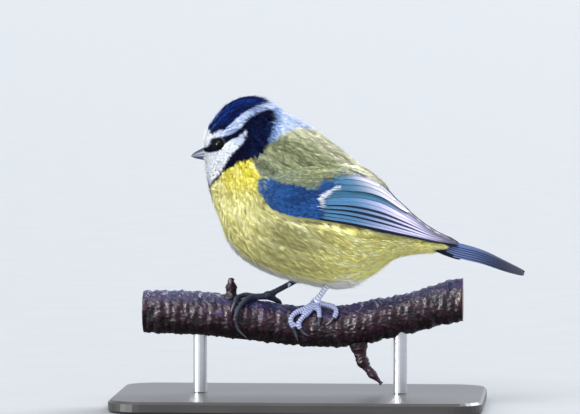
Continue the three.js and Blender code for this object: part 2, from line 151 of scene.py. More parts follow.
# Wing sections: upper edge, lower edge, bulge
wing = np.array([
    [-13.4, -16.6, 72.6, -13.0, -17.4, 69.2, 0.3],
    [-4.8, -18.4, 74.6, -5.2, -20.2, 63.2, 1.0],
    [6.0, -16.8, 75.8, 6.4, -21.4, 61.0, 1.6],
    [16.8, -10.2, 75.6, 17.6, -19.8, 59.4, 2.2],
    [24.6, -3.8, 72.0, 27.2, -15.6, 57.4, 2.0],
    [31.6, -1.5, 65.6, 36.2, -9.8, 55.4, 1.2],
    [41.0, -1.1, 58.2, 44.0, -6.0, 53.6, 0.5],
    [50.0, -1.7, 54.1, 51.2, -3.6, 52.5, 0.1],
])


def wingPoint(place, across):
    row = along(wing, place)
    upper = row[..., 0:3]
    lower = row[..., 3:6]
    chord = unit(lower - upper)
    outward = unit(np.stack([np.zeros_like(chord[..., 0]), chord[..., 2], -chord[..., 1]], -1))
    across = np.asarray(across)[..., None]
    return upper * (1 - across) + lower * across + outward * row[..., 6:7] * np.sin(math.pi * across)


def wingPointRight(place, across):
    return wingPoint(place, across) * np.array([1.0, -1.0, 1.0])


# Tail sections: ridge x and z, half width, drop of the sides
tail = np.array([
    [45.0, 53.0, 3.6, 2.4],
    [51.5, 51.6, 4.6, 3.2],
    [58.5, 49.4, 5.6, 3.0],
    [65.5, 46.0, 6.3, 2.4],
    [71.6, 43.0, 6.4, 1.6],
])


def tailPoint(place, across):
    row = along(tail, place)
    notch = 1.6 * (place / 4) ** 4 * (0.5 - across ** 2)
    z = row[..., 1] - row[..., 3] * np.abs(across) ** 1.5
    return np.stack([row[..., 0] - notch, row[..., 2] * across, z], -1)


# Branch sections: x, height of the centre, girth
branch = np.array([
    [-50.0, 30.0, 1.02],
    [-32.0, 29.2, 1.06],
    [-16.0, 27.6, 1.0],
    [0.0, 25.5, 0.96],
    [12.8, 25.3, 0.99],
    [22.4, 27.0, 1.03],
    [32.0, 29.4, 0.98],
    [52.0, 34.0, 1.05],
])
branchRadius = 6.6


def branchPoint(x, turn, lift=0.0):
    x = np.asarray(x, float)
    turn = np.asarray(turn, float)
    row = along(branch, np.interp(x, branch[:, 0], np.arange(len(branch))))
    rings = 0.02 * np.sin(x * 1.1 + 0.8 * np.sin(turn)) + 0.015 * np.sin(x * 2.3 + 2 * turn)
    ridges = 0.02 * np.sin(3 * turn + x * 0.15)
    radius = branchRadius * row[..., 2] * (1 + rings + ridges) + lift
    return np.stack([x + 0 * turn, -radius * np.sin(turn), row[..., 1] + radius * np.cos(turn)], -1)


feet = {
    "left": {
        "pad": (4.9, 14),
        "heel": (14.0, -11.0, 45.5),
        "toes": {
            "inner": [(4.4, 20), (1.8, 38), (-1.3, 55), (-2.5, 73), (-1.6, 92), (-0.8, 112), (-0.3, 132)],
            "middle": [(4.8, 22), (3.4, 44), (1.4, 63), (0.1, 80), (0.6, 93), (1.8, 104), (3.2, 112)],
            "outer": [(5.4, 20), (6.2, 38), (6.6, 54), (6.6, 64), (6.5, 74), (6.4, 84)],
            "hind": [(5.6, 10), (8.6, 20), (11.2, 33), (11.9, 50), (11.2, 64), (9.8, 75), (8.4, 80)],
        },
    },
    "right": {
        "pad": (-10.4, -4),
        "heel": (4.2, 7.8, 42.6),
        "toes": {
            "inner": [(-11.4, 2), (-14.4, 14), (-16.8, 34), (-19.0, 62), (-20.1, 88), (-19.3, 116),
                      (-16.6, 150)],
            "middle": [(-11.8, 0), (-14.6, 2), (-17.6, 8), (-19.7, 28), (-20.4, 48), (-21.0, 60),
                       (-21.5, 74)],
            "outer": [(-11.0, -7), (-13.6, -17), (-16.2, -32), (-17.4, -54), (-17.5, -80), (-17.0, -92),
                      (-16.2, -106)],
            "hind": [(-9.2, -8), (-7.4, -24), (-6.8, -46), (-7.0, -66), (-7.6, -84), (-8.4, -100)],
        },
    },
}
padRadius = 1.45
toeRadius = 0.85
clawRadius = 0.5
thighReach = 6.5


# Meshes
def meshPiece(name, points, faces, material, colours=None, uvs=None, marks=None):
    mesh = bpy.data.meshes.new(name)
    points = np.asarray(points, np.float32).reshape(-1, 3)
    faces = np.asarray(faces, np.int32)
    size = faces.shape[1]
    mesh.vertices.add(len(points))
    mesh.vertices.foreach_set("co", (points * mm).ravel())
    mesh.loops.add(faces.size)
    mesh.loops.foreach_set("vertex_index", faces.ravel())
    mesh.polygons.add(len(faces))
    mesh.polygons.foreach_set("loop_start", np.arange(0, faces.size, size, dtype=np.int32))
    mesh.update(calc_edges=True)
    mesh.polygons.foreach_set("use_smooth", np.ones(len(faces), bool))
    if colours is not None:
        layer = mesh.attributes.new("paint", "FLOAT_COLOR", "POINT")
        rgba = np.ones((len(points), 4), np.float32)
        rgba[:, :3] = np.clip(colours.reshape(-1, 3), 0, 1)
        layer.data.foreach_set("color", rgba.ravel())
    if marks is not None:
        layer = mesh.attributes.new("vane", "FLOAT_VECTOR", "POINT")
        layer.data.foreach_set("vector", np.asarray(marks, np.float32).ravel())
    if uvs is not None:
        layer = mesh.uv_layers.new(name="OFBake")
        layer.data.foreach_set("uv", np.asarray(uvs, np.float32).reshape(-1, 2)[faces.ravel()].ravel())
    mesh.materials.append(material)
    piece = bpy.data.objects.new(name, mesh)
    bpy.context.scene.collection.objects.link(piece)
    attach(piece, "root")
    return piece


def joinParts(parts):
    # Parts are (points, faces); the faces of each are shifted past the points before it
    points = []
    faces = []
    start = 0
    for partPoints, partFaces in parts:
        points.append(partPoints)
        faces.append(partFaces + start)
        start += len(partPoints)
    return np.concatenate(points), np.concatenate(faces)


def tubeFaces(rows, sides):
    # Quads of a tube of rings, with a centre point appended for each end
    row = np.arange(rows - 1)[:, None] * sides
    side = np.arange(sides)[None, :]
    follow = (side + 1) % sides
    quads = np.stack([row + side, row + follow, row + sides + follow, row + sides + side], -1)
    quads = quads.reshape(-1, 4)
    first = rows * sides
    last = first + 1
    turn = np.arange(sides)
    following = (turn + 1) % sides
    base = (rows - 1) * sides
    startCap = np.stack([np.full(sides, first), following, turn], -1)
    endCap = np.stack([np.full(sides, last), base + turn, base + following], -1)
    return np.concatenate([quads[:, [0, 1, 2]], quads[:, [0, 2, 3]], startCap, endCap])


def tube(rings):
    rows, sides = rings.shape[:2]
    points = np.concatenate([rings.reshape(-1, 3), rings[:1].mean(1), rings[-1:].mean(1)])
    return points, tubeFaces(rows, sides)


def smoothLine(points, count):
    # Evenly spaced points on a smooth line through the given ones
    points = np.asarray(points, float)
    places = np.linspace(0, len(points) - 1, 40 * len(points))
    fine = along(points, places)
    run = np.concatenate([[0], np.cumsum(np.linalg.norm(np.diff(fine, axis=0), axis=1))])
    want = np.linspace(0, run[-1], count)
    return np.stack([np.interp(want, run, fine[:, axis]) for axis in range(3)], -1), run[-1]


def bar(points, radiusAt, sides, rows):
    # Rings of a round bar on a smooth line; its radius is a function of the share of its length
    line = smoothLine(points, rows)[0]
    way = unit(np.gradient(line, axis=0))
    first = np.cross(way, np.array([0.0, 0.0, 1.0]))
    weak = np.linalg.norm(first, axis=1) < 0.2
    first[weak] = np.cross(way[weak], np.array([1.0, 0.0, 0.0]))
    first = unit(first)
    second = np.cross(way, first)
    share = np.linspace(0, 1, rows)
    turn = np.linspace(0, 2 * math.pi, sides, endpoint=False)
    radius = radiusAt(share)[:, None, None]
    return line[:, None] + radius * (
        first[:, None] * np.cos(turn)[None, :, None] + second[:, None] * np.sin(turn)[None, :, None]
    )


def ballRings(centre, radius, rows=13, sides=20, axis=(0, 0, 1)):
    axis = unit(np.array(axis, float))
    first = unit(np.cross(axis, np.array([0.3, 0.9, 0.2])))
    second = np.cross(axis, first)
    polar = np.linspace(0.02, math.pi - 0.02, rows)
    turn = np.linspace(0, 2 * math.pi, sides, endpoint=False)
    ring = first * np.cos(turn)[:, None] + second * np.sin(turn)[:, None]
    return np.asarray(centre) + radius * (
        axis * np.cos(polar)[:, None, None] + ring[None] * np.sin(polar)[:, None, None]
    )


def surfaceFrame(surface, a, b):
    # The point, and its change with each coordinate
    step = 0.02
    point = surface(a, b)
    changeA = (surface(a + step, b) - surface(a - step, b)) / (2 * step)
    changeB = (surface(a, b + step) - surface(a, b - step)) / (2 * step)
    return point, changeA, changeB


# Outlines of the markings of the left side, in pixels of the photo
capLine = [
    (204, 128), (209, 129.5), (212, 134), (216, 131), (220, 129), (225, 131.5), (233, 123), (241, 116),
    (251, 110), (263, 105), (270, 103),
]
browLine = [
    (203, 147.5), (207, 147.5), (210, 143.5), (212.5, 138.5), (223, 137), (233, 134.5), (241, 129),
    (249, 120), (257, 115), (265, 111), (273, 110), (280, 108),
]
cheekTop = [
    (203, 151), (208, 153), (213, 152.8), (219, 151.5), (226, 144.5), (233, 139.6), (238, 138.6),
    (245, 133), (248, 131),
]
cheekBack = [
    (247.6, 131), (247.6, 137), (245, 141), (242, 146), (238, 150), (234, 154), (228, 162), (224, 169),
    (219.7, 176), (214, 180), (209.4, 187.5),
]
collarFoot = [
    (208, 190), (210, 188), (214, 184), (220, 179), (224, 173), (230, 170), (236.5, 165), (245, 162.5),
    (253, 160), (258, 158),
]
collarBack = [(273, 108), (276, 113), (277, 122), (275, 130), (271, 141), (266, 151), (260, 159)]
napeFoot = [(262, 151), (272, 143), (277, 141), (285, 136), (292, 132), (299, 129), (312, 130)]
mantleFront = [(253, 155), (253, 160), (255, 166), (258, 172), (262, 178), (262, 186)]
mantleFoot = [(262, 178), (300, 186), (340, 200), (400, 225), (450, 245)]
ventTop = [(318, 294), (330, 283), (345, 278), (365, 279), (385, 274), (400, 268), (430, 258), (460, 257)]
backLine = [(290, 121), (312, 130), (330, 143), (350, 160), (372, 182), (400, 205), (450, 240)]
bellyFoot = [(229.5, 243), (246, 260), (261, 267), (279, 275), (295, 279), (314.5, 283), (420, 300)]

# Half width of the bib, as an angle, by the place along the body
bibShape = {
    "place": [0, 1, 3, 4.2, 5.2, 6.2, 6.4],
    "width": [0.2, 0.22, 0.36, 0.32, 0.14, 0.02, -0.2],
}
farBelow = 300.0


def lineY(line, x):
    line = np.array(line)
    return np.interp(x, line[:, 0], line[:, 1])


def lineX(line, y):
    line = np.array(line)
    return np.interp(y, line[:, 1], line[:, 0])


shades = {
    "yellow": tone(242, 236, 158),
    "yellowBright": tone(240, 228, 84),
    "yellowWarm": tone(255, 242, 150),
    "yellowPale": tone(246, 246, 222),
    "yellowDeep": tone(190, 178, 84),
    "flank": tone(190, 188, 130),
    "mantle": tone(160, 166, 126),
    "mantleBlue": tone(128, 144, 132),
    "backLitPale": tone(214, 212, 182),
    "navy": tone(1, 6, 42),
    "blue": tone(16, 44, 100),
    "capBlue": tone(2, 38, 114),
    "capDark": tone(3, 16, 52),
    "white": tone(240, 244, 250),
    "pale": tone(218, 230, 252),
    "browBlue": tone(98, 134, 202),
    "browDark": tone(24, 70, 142),
    "nape": tone(198, 212, 240),
    "napeBlue": tone(96, 138, 200),
    "belly": tone(240, 244, 236),
    "vent": tone(246, 246, 244),
}


def backShade(x, y, grain):
    # The mantle: olive, greyer over the shoulder, and painted paler along the ridge of the back as painted
    # light from above and behind
    shoulder = smoothStep(300, 262, x) * smoothStep(150, 175, y)
    back = blendTones(shades["mantle"], shades["mantleBlue"], 0.5 * shoulder)
    # Painted light: the ridge of the back is painted paler, as if lit from above and behind
    litRidge = smoothStep(22, 4, y - lineY(backLine, x))
    back = blendTones(back, shades["backLitPale"], litRidge)
    return back * (0.6 + 0.72 * grain[..., None])


def bodyShade(place, angle, points, grain):
    # Colour of the plumage at points that belong to body places; grain is a number for each, 0 to 1
    side = np.where(np.sin(angle) >= 0, 1.0, -1.0)
    nearAngle = np.where(side > 0, angle, 2 * math.pi - angle)
    away = points - bodyPoint(place, angle)
    away[..., 1] *= side
    x, y = toPixels(bodyPoint(place, nearAngle) + away)
    soft = 1.1
    shade = shades
    # Yellow underparts, the white rim of the belly and the vent
    rearward = smoothStep(300, 350, x)
    throat = smoothStep(205, 178, y) * smoothStep(216, 232, x)
    colour = blendTones(shade["yellow"], shade["yellowBright"], throat)
    # Towards the rear a warmer, brighter yellow: partly the plumage's own colour, partly painted light
    # where the rear belly catches light from behind
    colour = blendTones(colour, shade["yellowWarm"], 0.8 * rearward)
    flank = smoothStep(250, 285, x) * smoothStep(268, 240, y) * (1 - 0.8 * rearward)
    colour = blendTones(colour, shade["flank"], 0.75 * flank)
    colour = blendTones(colour, shade["yellowPale"], 0.4 * smoothStep(0.6, 0.95, grain))
    colour = blendTones(colour, shade["yellowDeep"], 0.45 * smoothStep(0.35, 0.05, grain))
    white = smoothStep(-5, 3, y - lineY(bellyFoot, x) + 3 * (grain - 0.5))
    colour = blendTones(colour, shade["belly"], white)
    vent = smoothStep(-2, 5, y - lineY(ventTop, x) + 6 * (grain - 0.5)) * smoothStep(316, 330, x)
    colour = blendTones(colour, shade["vent"], 0.85 * vent)
    # Painted light: the rear and the vent are painted brighter to stand in for light under the body
    colour = colour * (1 + 0.2 * np.maximum(rearward, vent))[..., None]
    # The back
    mantle = smoothStep(-soft, soft, x - lineX(mantleFront, y))
    mantle = mantle * smoothStep(soft, -soft, y - lineY(mantleFoot, x))
    colour = blendTones(colour, backShade(x, y, grain), mantle)
    # Nape patch and collar
    front = smoothStep(330, 320, x)
    aboveNape = smoothStep(1.5, -1.5, y - lineY(napeFoot, x) + 3 * (grain - 0.5)) * front
    behind = smoothStep(-soft, soft, x - lineX(collarBack, y))
    nape = blendTones(shade["napeBlue"], shade["nape"], smoothStep(0, 9, x - lineX(collarBack, y)))
    colour = blendTones(colour, nape, aboveNape * behind)
    collarEdge = np.where((x > 257) & (y < 160), farBelow, lineY(collarFoot, x))
    collar = (1 - behind) * smoothStep(soft, -soft, y - collarEdge) * smoothStep(282, 278, x)
    lowEnough = np.where(y < 159, 1.0, smoothStep(259, 255, x))
    blueShare = 0.55 * smoothStep(0.35, 0.9, grain) * smoothStep(240, 266, x)
    collarShade = blendTones(shade["navy"], shade["blue"], blueShare)
    colour = blendTones(colour, collarShade, collar * lowEnough)
    # Cheek and bib
    cheek = smoothStep(soft, -soft, x - lineX(cheekBack, y))
    cheek = cheek * smoothStep(-soft, soft, y - lineY(cheekTop, x)) * smoothStep(190, 186, y)
    cheekShade = blendTones(shade["white"], shade["pale"], smoothStep(222, 245, x))
    colour = blendTones(colour, cheekShade, cheek)
    bibWidth = np.interp(place, bibShape["place"], bibShape["width"])
    bib = smoothStep(0.05, -0.05, np.abs(angle - math.pi) - bibWidth)
    colour = blendTones(colour, shade["navy"], bib)
    # Brow and cap
    headArea = smoothStep(282, 276, x) * smoothStep(155, 150, y)
    brow = smoothStep(soft, -soft, y - lineY(browLine, x)) * headArea
    browStreak = blendTones(shade["browBlue"], shade["pale"], smoothStep(0.05, 0.95, grain))
    browShade = blendTones(shade["white"], browStreak, 0.85 * smoothStep(211, 226, x))
    colour = blendTones(colour, browShade, brow)
    cap = smoothStep(soft, -soft, y - lineY(capLine, x) + 3 * (grain - 0.5))
    cap = cap * smoothStep(206, 209, x) * smoothStep(272, 268, x)
    capShade = blendTones(shade["capDark"], shade["capBlue"], smoothStep(0.3, 0.7, grain))
    capShade = blendTones(capShade, shade["browDark"], 0.5 * smoothStep(0.75, 0.9, grain))
    paleBarbs = 0.6 * smoothStep(0.7, 0.9, grain) * smoothStep(236, 212, x)
    capShade = blendTones(capShade, shade["browBlue"], paleBarbs)
    foreheadStreak = smoothStep(0.35, 0.1, grain) * smoothStep(224, 210, x) * smoothStep(142, 134, y)
    colour = blendTones(colour, shade["capBlue"], 0.6 * foreheadStreak * brow * headArea)
    colour = blendTones(colour, capShade, cap * headArea)
    return colour


# Materials
def newMaterial(name):
    material = bpy.data.materials.new(name)
    material.use_nodes = True
    shader = material.node_tree.nodes["Principled BSDF"]
    return material, material.node_tree, shader


def addNode(tree, kind, **values):
    node = tree.nodes.new(kind)
    for key, value in values.items():
        if hasattr(node, key):
            setattr(node, key, value)
        else:
            node.inputs[key.replace("_", " ")].default_value = value
    return node


def bumpInto(tree, shader, height, strength, distance):
    bump = addNode(tree, "ShaderNodeBump", Strength=strength, Distance=distance * mm)
    tree.links.new(height, bump.inputs["Height"])
    tree.links.new(bump.outputs["Normal"], shader.inputs["Normal"])


def noiseAt(tree, scale, detail, roughness=0.5, stretch=None):
    # Noise at the place on the surface; stretch scales the place along each axis
    place = addNode(tree, "ShaderNodeNewGeometry").outputs["Position"]
    if stretch:
        mapping = addNode(tree, "ShaderNodeMapping")
        mapping.inputs["Scale"].default_value = stretch
        tree.links.new(place, mapping.inputs["Vector"])
        place = mapping.outputs["Vector"]
    grain = addNode(tree, "ShaderNodeTexNoise", Scale=scale, Detail=detail, Roughness=roughness)
    tree.links.new(place, grain.inputs["Vector"])
    return grain.outputs["Fac"], place


def rampColour(tree, shader, value, first, second):
    ramp = addNode(tree, "ShaderNodeValToRGB")
    ramp.color_ramp.elements[0].color = (*first, 1)
    ramp.color_ramp.elements[1].color = (*second, 1)
    tree.links.new(value, ramp.inputs["Fac"])
    tree.links.new(ramp.outputs["Color"], shader.inputs["Base Color"])


def spreadValue(tree, value, fromLow, fromHigh, low, high):
    spread = addNode(tree, "ShaderNodeMapRange")
    spread.inputs["From Min"].default_value = fromLow
    spread.inputs["From Max"].default_value = fromHigh
    spread.inputs["To Min"].default_value = low
    spread.inputs["To Max"].default_value = high
    tree.links.new(value, spread.inputs["Value"])
    return spread.outputs["Result"]


def mottledPaint(tree, shader, value, low, high):
    # The painted colour, darkened and lightened by noise
    paint = addNode(tree, "ShaderNodeAttribute", attribute_name="paint")
    shaded = addNode(tree, "ShaderNodeVectorMath", operation="SCALE")
    tree.links.new(paint.outputs["Color"], shaded.inputs[0])
    tree.links.new(spreadValue(tree, value, 0.3, 0.7, low, high), shaded.inputs["Scale"])
    tree.links.new(shaded.outputs["Vector"], shader.inputs["Base Color"])


def paintMaterial(name, roughness, mottle, noiseScale, bumpStrength, specular=0.3):
    # The painted colour, mottled by fine noise, over a fine bump
    material, tree, shader = newMaterial(name)
    grain = noiseAt(tree, noiseScale, 5.0, 0.6)[0]
    mottledPaint(tree, shader, grain, 1 - mottle, 1 + mottle)
    shader.inputs["Roughness"].default_value = roughness
    shader.inputs["Specular IOR Level"].default_value = specular
    bumpInto(tree, shader, grain, bumpStrength, 0.1)
    return material


coatMaterial = paintMaterial("coat", 0.85, 0.06, 900, 0.05, specular=0.08)
skinMaterial = paintMaterial("skin", 0.7, 0.15, 1500, 0.3)


# Tufts
barbFaces = np.array([[0, 2, 1], [0, 3, 2], [0, 1, 3], [1, 2, 4], [2, 3, 4], [3, 1, 4]])
barbCorners = 5


def growTufts(
    surface, a, b, length, width, depth, lean, barbs, barbWidth,
    splay=0.25, stand=0.0, loose=0.04, sign=1.0,
):
    # Feathers from roots (a, b) of a surface: a centre line that leaves the skin and lies down along the
    # body, with barbs that spread from it. Sign is -1 where the surface is mirrored. Returns points by
    # feather, barb and corner, and what belongs to them.
    count = len(a)
    steps = 5
    centres = []
    normals = []
    sides = []
    placesA = []
    placesB = []
    for step in range(steps):
        point, changeA, changeB = surfaceFrame(surface, a, b)
        normal = unit(np.cross(changeB, changeA)) * sign
        forward = unit(changeA)
        across = np.cross(normal, forward)
        centres.append(point)
        normals.append(normal)
        sides.append(across * np.cos(lean)[:, None] - forward * np.sin(lean)[:, None])
        placesA.append(a)
        placesB.append(b)
        way = forward * np.cos(lean)[:, None] + across * np.sin(lean)[:, None]
        stride = way * (length / (steps - 1))[:, None]
        perB = (changeB * across).sum(-1)
        perB = np.where(np.abs(perB) < 0.8, np.where(perB < 0, -0.8, 0.8), perB)
        moveB = (stride * across).sum(-1) / perB
        sizeA = np.maximum(np.linalg.norm(changeA, axis=-1), 0.3)
        moveA = ((stride * forward).sum(-1) - (changeB * forward).sum(-1) * moveB) / sizeA
        a = a + moveA
        b = b + moveB
    centres = np.stack(centres, 1)
    normals = np.stack(normals, 1)
    sides = np.stack(sides, 1)
    placesA = np.stack(placesA, 1)
    placesB = np.stack(placesB, 1)
    lift = np.array([0, 0.42, 0.72, 0.9, 1.0])[None, :]
    stand = np.broadcast_to(np.asarray(stand, float), (count,))
    height = -depth[:, None] * (1 - lift) + stand[:, None] * np.array([0, 0.1, 0.3, 0.6, 1.0])[None, :]
    centres = centres + normals * height[..., None]
    # Barbs
    spread = np.linspace(-1, 1, barbs)[None, :] + rng.uniform(-0.3, 0.3, (count, barbs))
    start = rng.uniform(0, 0.4, (count, barbs))
    end = 1 - rng.uniform(0, 0.3, (count, barbs))
    sway = rng.normal(0, splay * 0.3, (count, barbs))
    hover = rng.normal(0, 0.06, (count, barbs))
    hover = hover + 0.6 * (rng.uniform(0, 1, (count, barbs)) < np.reshape(loose, (-1, 1)))
    thickness = barbWidth * rng.uniform(0.75, 1.25, (count, barbs))

    def at(values, share):
        place = np.clip(share, 0, 1) * (steps - 1)
        cell = np.clip(np.floor(place), 0, steps - 2).astype(int)
        part = place - cell
        index = np.arange(count)[:, None]
        low = values[index, cell]
        high = values[index, cell + 1]
        part = part[..., None] if values.ndim == 3 else part
        return low * (1 - part) + high * part

    def barbPoint(share):
        run = start + (end - start) * share
        aside = width[:, None] * (spread * (0.7 + 0.3 * math.sqrt(share)) + sway * share ** 2)
        raised = at(centres, run) + at(normals, run) * (hover * share)[..., None]
        return raised + at(sides, run) * aside[..., None]

    base, belly, tip = barbPoint(0.0), barbPoint(0.5), barbPoint(1.0)
    direction = unit(tip - base)
    normal = at(normals, start + (end - start) * 0.5)
    aside = unit(np.cross(normal, direction))
    half = (thickness / 2)[..., None]
    crown = belly + normal * half * 0.4
    points = np.stack([base, belly - aside * half, belly + aside * half, crown, tip], 2)
    sample = start + (end - start) * 0.8
    return {
        "points": points,
        "sampleA": at(placesA, sample),
        "sampleB": at(placesB, sample),
        "samplePoint": barbPoint(0.8),
        "spread": spread,
        "count": count,
    }


def offTheEyes(points):
    # Barbs that don't cross the opening of the lids
    clear = np.ones(points.shape[:2], bool)
    for side, centre in eyeCentres.items():
        away = points - centre
        outward = eyeWay(side)
        height = (away * outward).sum(-1)
        radius = np.linalg.norm(away - height[..., None] * outward, axis=-1)
        clear &= ~((height > 0.4) & (height < 5) & (radius < openingRadius)).any(-1)
    return clear


def tuftPiece(name, batches, material):
    # Batches are (tufts, colours by feather and barb, patch corner by feather)
    points = []
    faces = []
    colours = []
    uvs = []
    start = 0
    shadeAlong = np.array([0.75, 0.95, 0.95, 1.0, 1.04])
    patchAlong = np.array([0.0, 0.5, 0.5, 0.5, 1.0])
    for tufts, barbColours, corner in batches:
        keep = offTheEyes(tufts["points"])
        total = int(keep.sum())
        points.append(tufts["points"][keep].reshape(-1, 3))
        first = np.arange(total)[:, None, None] * barbCorners + start
        faces.append((first + barbFaces[None]).reshape(-1, 3))
        start += total * barbCorners
        painted = barbColours[keep][:, None, :] * shadeAlong[None, :, None]
        colours.append(painted.reshape(-1, 3))
        across = np.clip(0.5 + 0.45 * tufts["spread"], 0, 1)[keep]
        patch = np.stack([
            np.broadcast_to(across[:, None], (total, barbCorners)),
            np.broadcast_to(patchAlong[None, :], (total, barbCorners)),
        ], -1)
        corners = np.broadcast_to(corner[:, None, :], (*keep.shape, 2))[keep]
        uvs.append((corners[:, None, :] + patch * 0.003).reshape(-1, 2))
    points = np.concatenate(points)
    faces = np.concatenate(faces)
    piece = meshPiece(name, points, faces, material, np.concatenate(colours), np.concatenate(uvs))
    print(name, len(faces), "triangles")
    return piece


def scatter(surface, lowA, highA, lowB, highB, spacing, accept=None):
    # Even random roots on a surface: the spacing is a function of the place
    tries = 6
    probeA = rng.uniform(lowA, highA, 4000)
    probeB = rng.uniform(lowB, highB, 4000)
    point, changeA, changeB = surfaceFrame(surface, probeA, probeB)
    area = np.linalg.norm(np.cross(changeA, changeB), axis=-1)
    want = area / spacing(probeA) ** 2
    total = int(want.mean() * (highA - lowA) * (highB - lowB) * tries)
    a = rng.uniform(lowA, highA, total)
    b = rng.uniform(lowB, highB, total)
    point, changeA, changeB = surfaceFrame(surface, a, b)
    area = np.linalg.norm(np.cross(changeA, changeB), axis=-1)
    gapHere = spacing(a)
    share = area / gapHere ** 2
    keep = rng.uniform(0, 1, total) < share / np.percentile(share, 99)
    if accept is not None:
        keep &= accept(a, b, point)
    a, b, point, gapHere = a[keep], b[keep], point[keep], gapHere[keep]
    order = rng.permutation(len(a))
    a, b, point, gapHere = a[order], b[order], point[order], gapHere[order]
    level = np.round(np.log2(gapHere) * 4)
    size = 2 ** (level / 4)
    cell = np.floor(point / size[:, None])
    key = np.concatenate([cell, level[:, None]], 1).astype(np.int64)
    first = np.unique(key, axis=0, return_index=True)[1]
    first.sort()
    return a[first], b[first]


print("shapes ready")


# Coat of the body
coatTable = {
    "place": [0, 1, 2, 3, 4, 5, 6, 7, 8, 9, 10, 11, 12, 13, 14],
    "length": [1.0, 1.5, 2.2, 3.0, 3.8, 4.8, 6.0, 7.4, 8.4, 9.2, 9.3, 8.2, 6.4, 5.6, 5.0],
    "width": [0.16, 0.2, 0.24, 0.28, 0.32, 0.38, 0.44, 0.48, 0.5, 0.52, 0.52, 0.5, 0.46, 0.4, 0.34],
    "depth": [0.35, 0.5, 0.8, 1.0, 1.1, 1.3, 1.6, 2.0, 2.2, 2.3, 2.3, 2.2, 1.6, 1.2, 0.8],
    "spacing": [0.34, 0.4, 0.46, 0.52, 0.58, 0.66, 0.74, 0.8, 0.84, 0.86, 0.88, 0.86, 0.8, 0.7, 0.6],
}


def coatValue(name, place):
    return np.interp(place, coatTable["place"], coatTable[name])


eyeRadius = 2.3
openingRadius = 1.68
eyeCentres = {
    side: turned(np.array([-23.7, 7.9 * way, 83.4]), 1.0) for side, way in (("left", -1), ("right", 1))
}


def eyeWay(side):
    # The way an eye looks
    way = unit(np.array([-0.12, -1.0 if side == "left" else 1.0, 0.05]))
    pivot = np.array([neckPivot, 0.0, 0.0])
    return unit(turned(way + pivot, 1.0) - turned(pivot, 1.0))


def clearOfEyes(a, b, point):
    bareRadius = 2.55
    near = np.minimum(*[np.linalg.norm(point - centre, axis=-1) for centre in eyeCentres.values()])
    return near > bareRadius


def treeOf(points):
    tree = kdtree.KDTree(len(points))
    for index, point in enumerate(points):
        tree.insert(point, index)
    tree.balance()
    return tree


def underWing(point):
    # Whether a point of the flank is covered by a folded wing; the back between the wings isn't
    wingReach = 3.0
    backHalf = 3.5
    grid = np.meshgrid(np.linspace(0.35, 5.6, 60), np.linspace(0.14, 0.86, 20), indexing="ij")
    tree = treeOf(wingPoint(grid[0].ravel(), grid[1].ravel()))
    leftPoint = point.copy()
    leftPoint[:, 1] = -np.abs(leftPoint[:, 1])
    near = np.array([tree.find(place)[2] < wingReach for place in leftPoint])
    return near & (leftPoint[:, 1] < -backHalf)


rootA, rootB = scatter(
    bodyPoint, 0.0, 14.0, 0.0, 2 * math.pi, lambda place: coatValue("spacing", place), clearOfEyes
)
covered = underWing(bodyPoint(rootA, rootB))
rootA = rootA[~covered]
rootB = rootB[~covered]
print("body roots", len(rootA))


def drift(point, scale, seed):
    # Smooth random number, -1 to 1, at each point
    offset = Vector((seed * 7.3, seed * 3.1, seed * 5.7))
    return np.array([noise.noise(Vector(place) / scale + offset) for place in point])


def streaks(a, b, along, across):
    # Random number, 0 to 1, that changes slowly along the lie of the coat and quickly across it
    fine = [noise.noise(Vector((x / along, y / across, 0.5))) for x, y in zip(a.ravel(), b.ravel())]
    wide = [noise.noise(Vector((x / along, y / across / 3.5, 4.5))) for x, y in zip(a.ravel(), b.ravel())]
    return np.clip(0.5 + 0.85 * np.array(fine) + 0.55 * np.array(wide), 0, 1).reshape(a.shape)


rootPoint = bodyPoint(rootA, rootB)
lean = 0.09 * drift(rootPoint, 12.0, 1) + rng.normal(0, 0.035, len(rootA))
coatLength = coatValue("length", rootA) * rng.uniform(0.85, 1.15, len(rootA))
coatWidth = coatValue("width", rootA) * rng.uniform(0.85, 1.15, len(rootA))
coatDepth = coatValue("depth", rootA)
cosB = np.cos(rootB)
sinB = np.sin(rootB)
# Tufts stand off a little at the vent, the crest and the belly
ventStand = smoothStep(9.9, 10.8, rootA) * smoothStep(12.2, 11.5, rootA) * smoothStep(-0.55, -0.9, cosB)
crestStand = smoothStep(3.6, 4.4, rootA) * smoothStep(5.6, 5.0, rootA) * smoothStep(0.8, 0.95, cosB)
bellyStand = smoothStep(-0.75, -0.95, cosB) * smoothStep(5.5, 8, rootA)
stand = 0.03 * rng.normal(0, 1, len(rootA)) * coatDepth
stand += 1.6 * rng.uniform(0, 1, len(rootA)) ** 3 * ventStand
stand += rng.uniform(0.1, 1.6, len(rootA)) * crestStand
stand += rng.uniform(0, 0.5, len(rootA)) * bellyStand
loose = 0.04 + 0.12 * bellyStand + 0.2 * ventStand + 0.1 * crestStand
groups = {
    "coat_face": rootA < 2.2,
    "coat_crown": (rootA >= 2.2) & (rootA < 5.6) & (cosB > 0.25),
    "coat_cheeks": (rootA >= 2.2) & (rootA < 5.6) & (cosB <= 0.25),
    "coat_neck": (rootA >= 5.6) & (rootA < 7.6),
    "coat_mantle": (rootA >= 7.6) & (cosB > 0.2),
    "coat_flank_left": (rootA >= 7.6) & (cosB <= 0.2) & (cosB > -0.75) & (sinB >= 0),
    "coat_flank_right": (rootA >= 7.6) & (cosB <= 0.2) & (cosB > -0.75) & (sinB < 0),
    "coat_breast": (rootA >= 7.6) & (rootA < 9.3) & (cosB <= -0.75),
    "coat_belly": (rootA >= 9.3) & (cosB <= -0.75),
}
barbsOf = {"coat_face": 8, "coat_crown": 9, "coat_cheeks": 9, "coat_neck": 9}
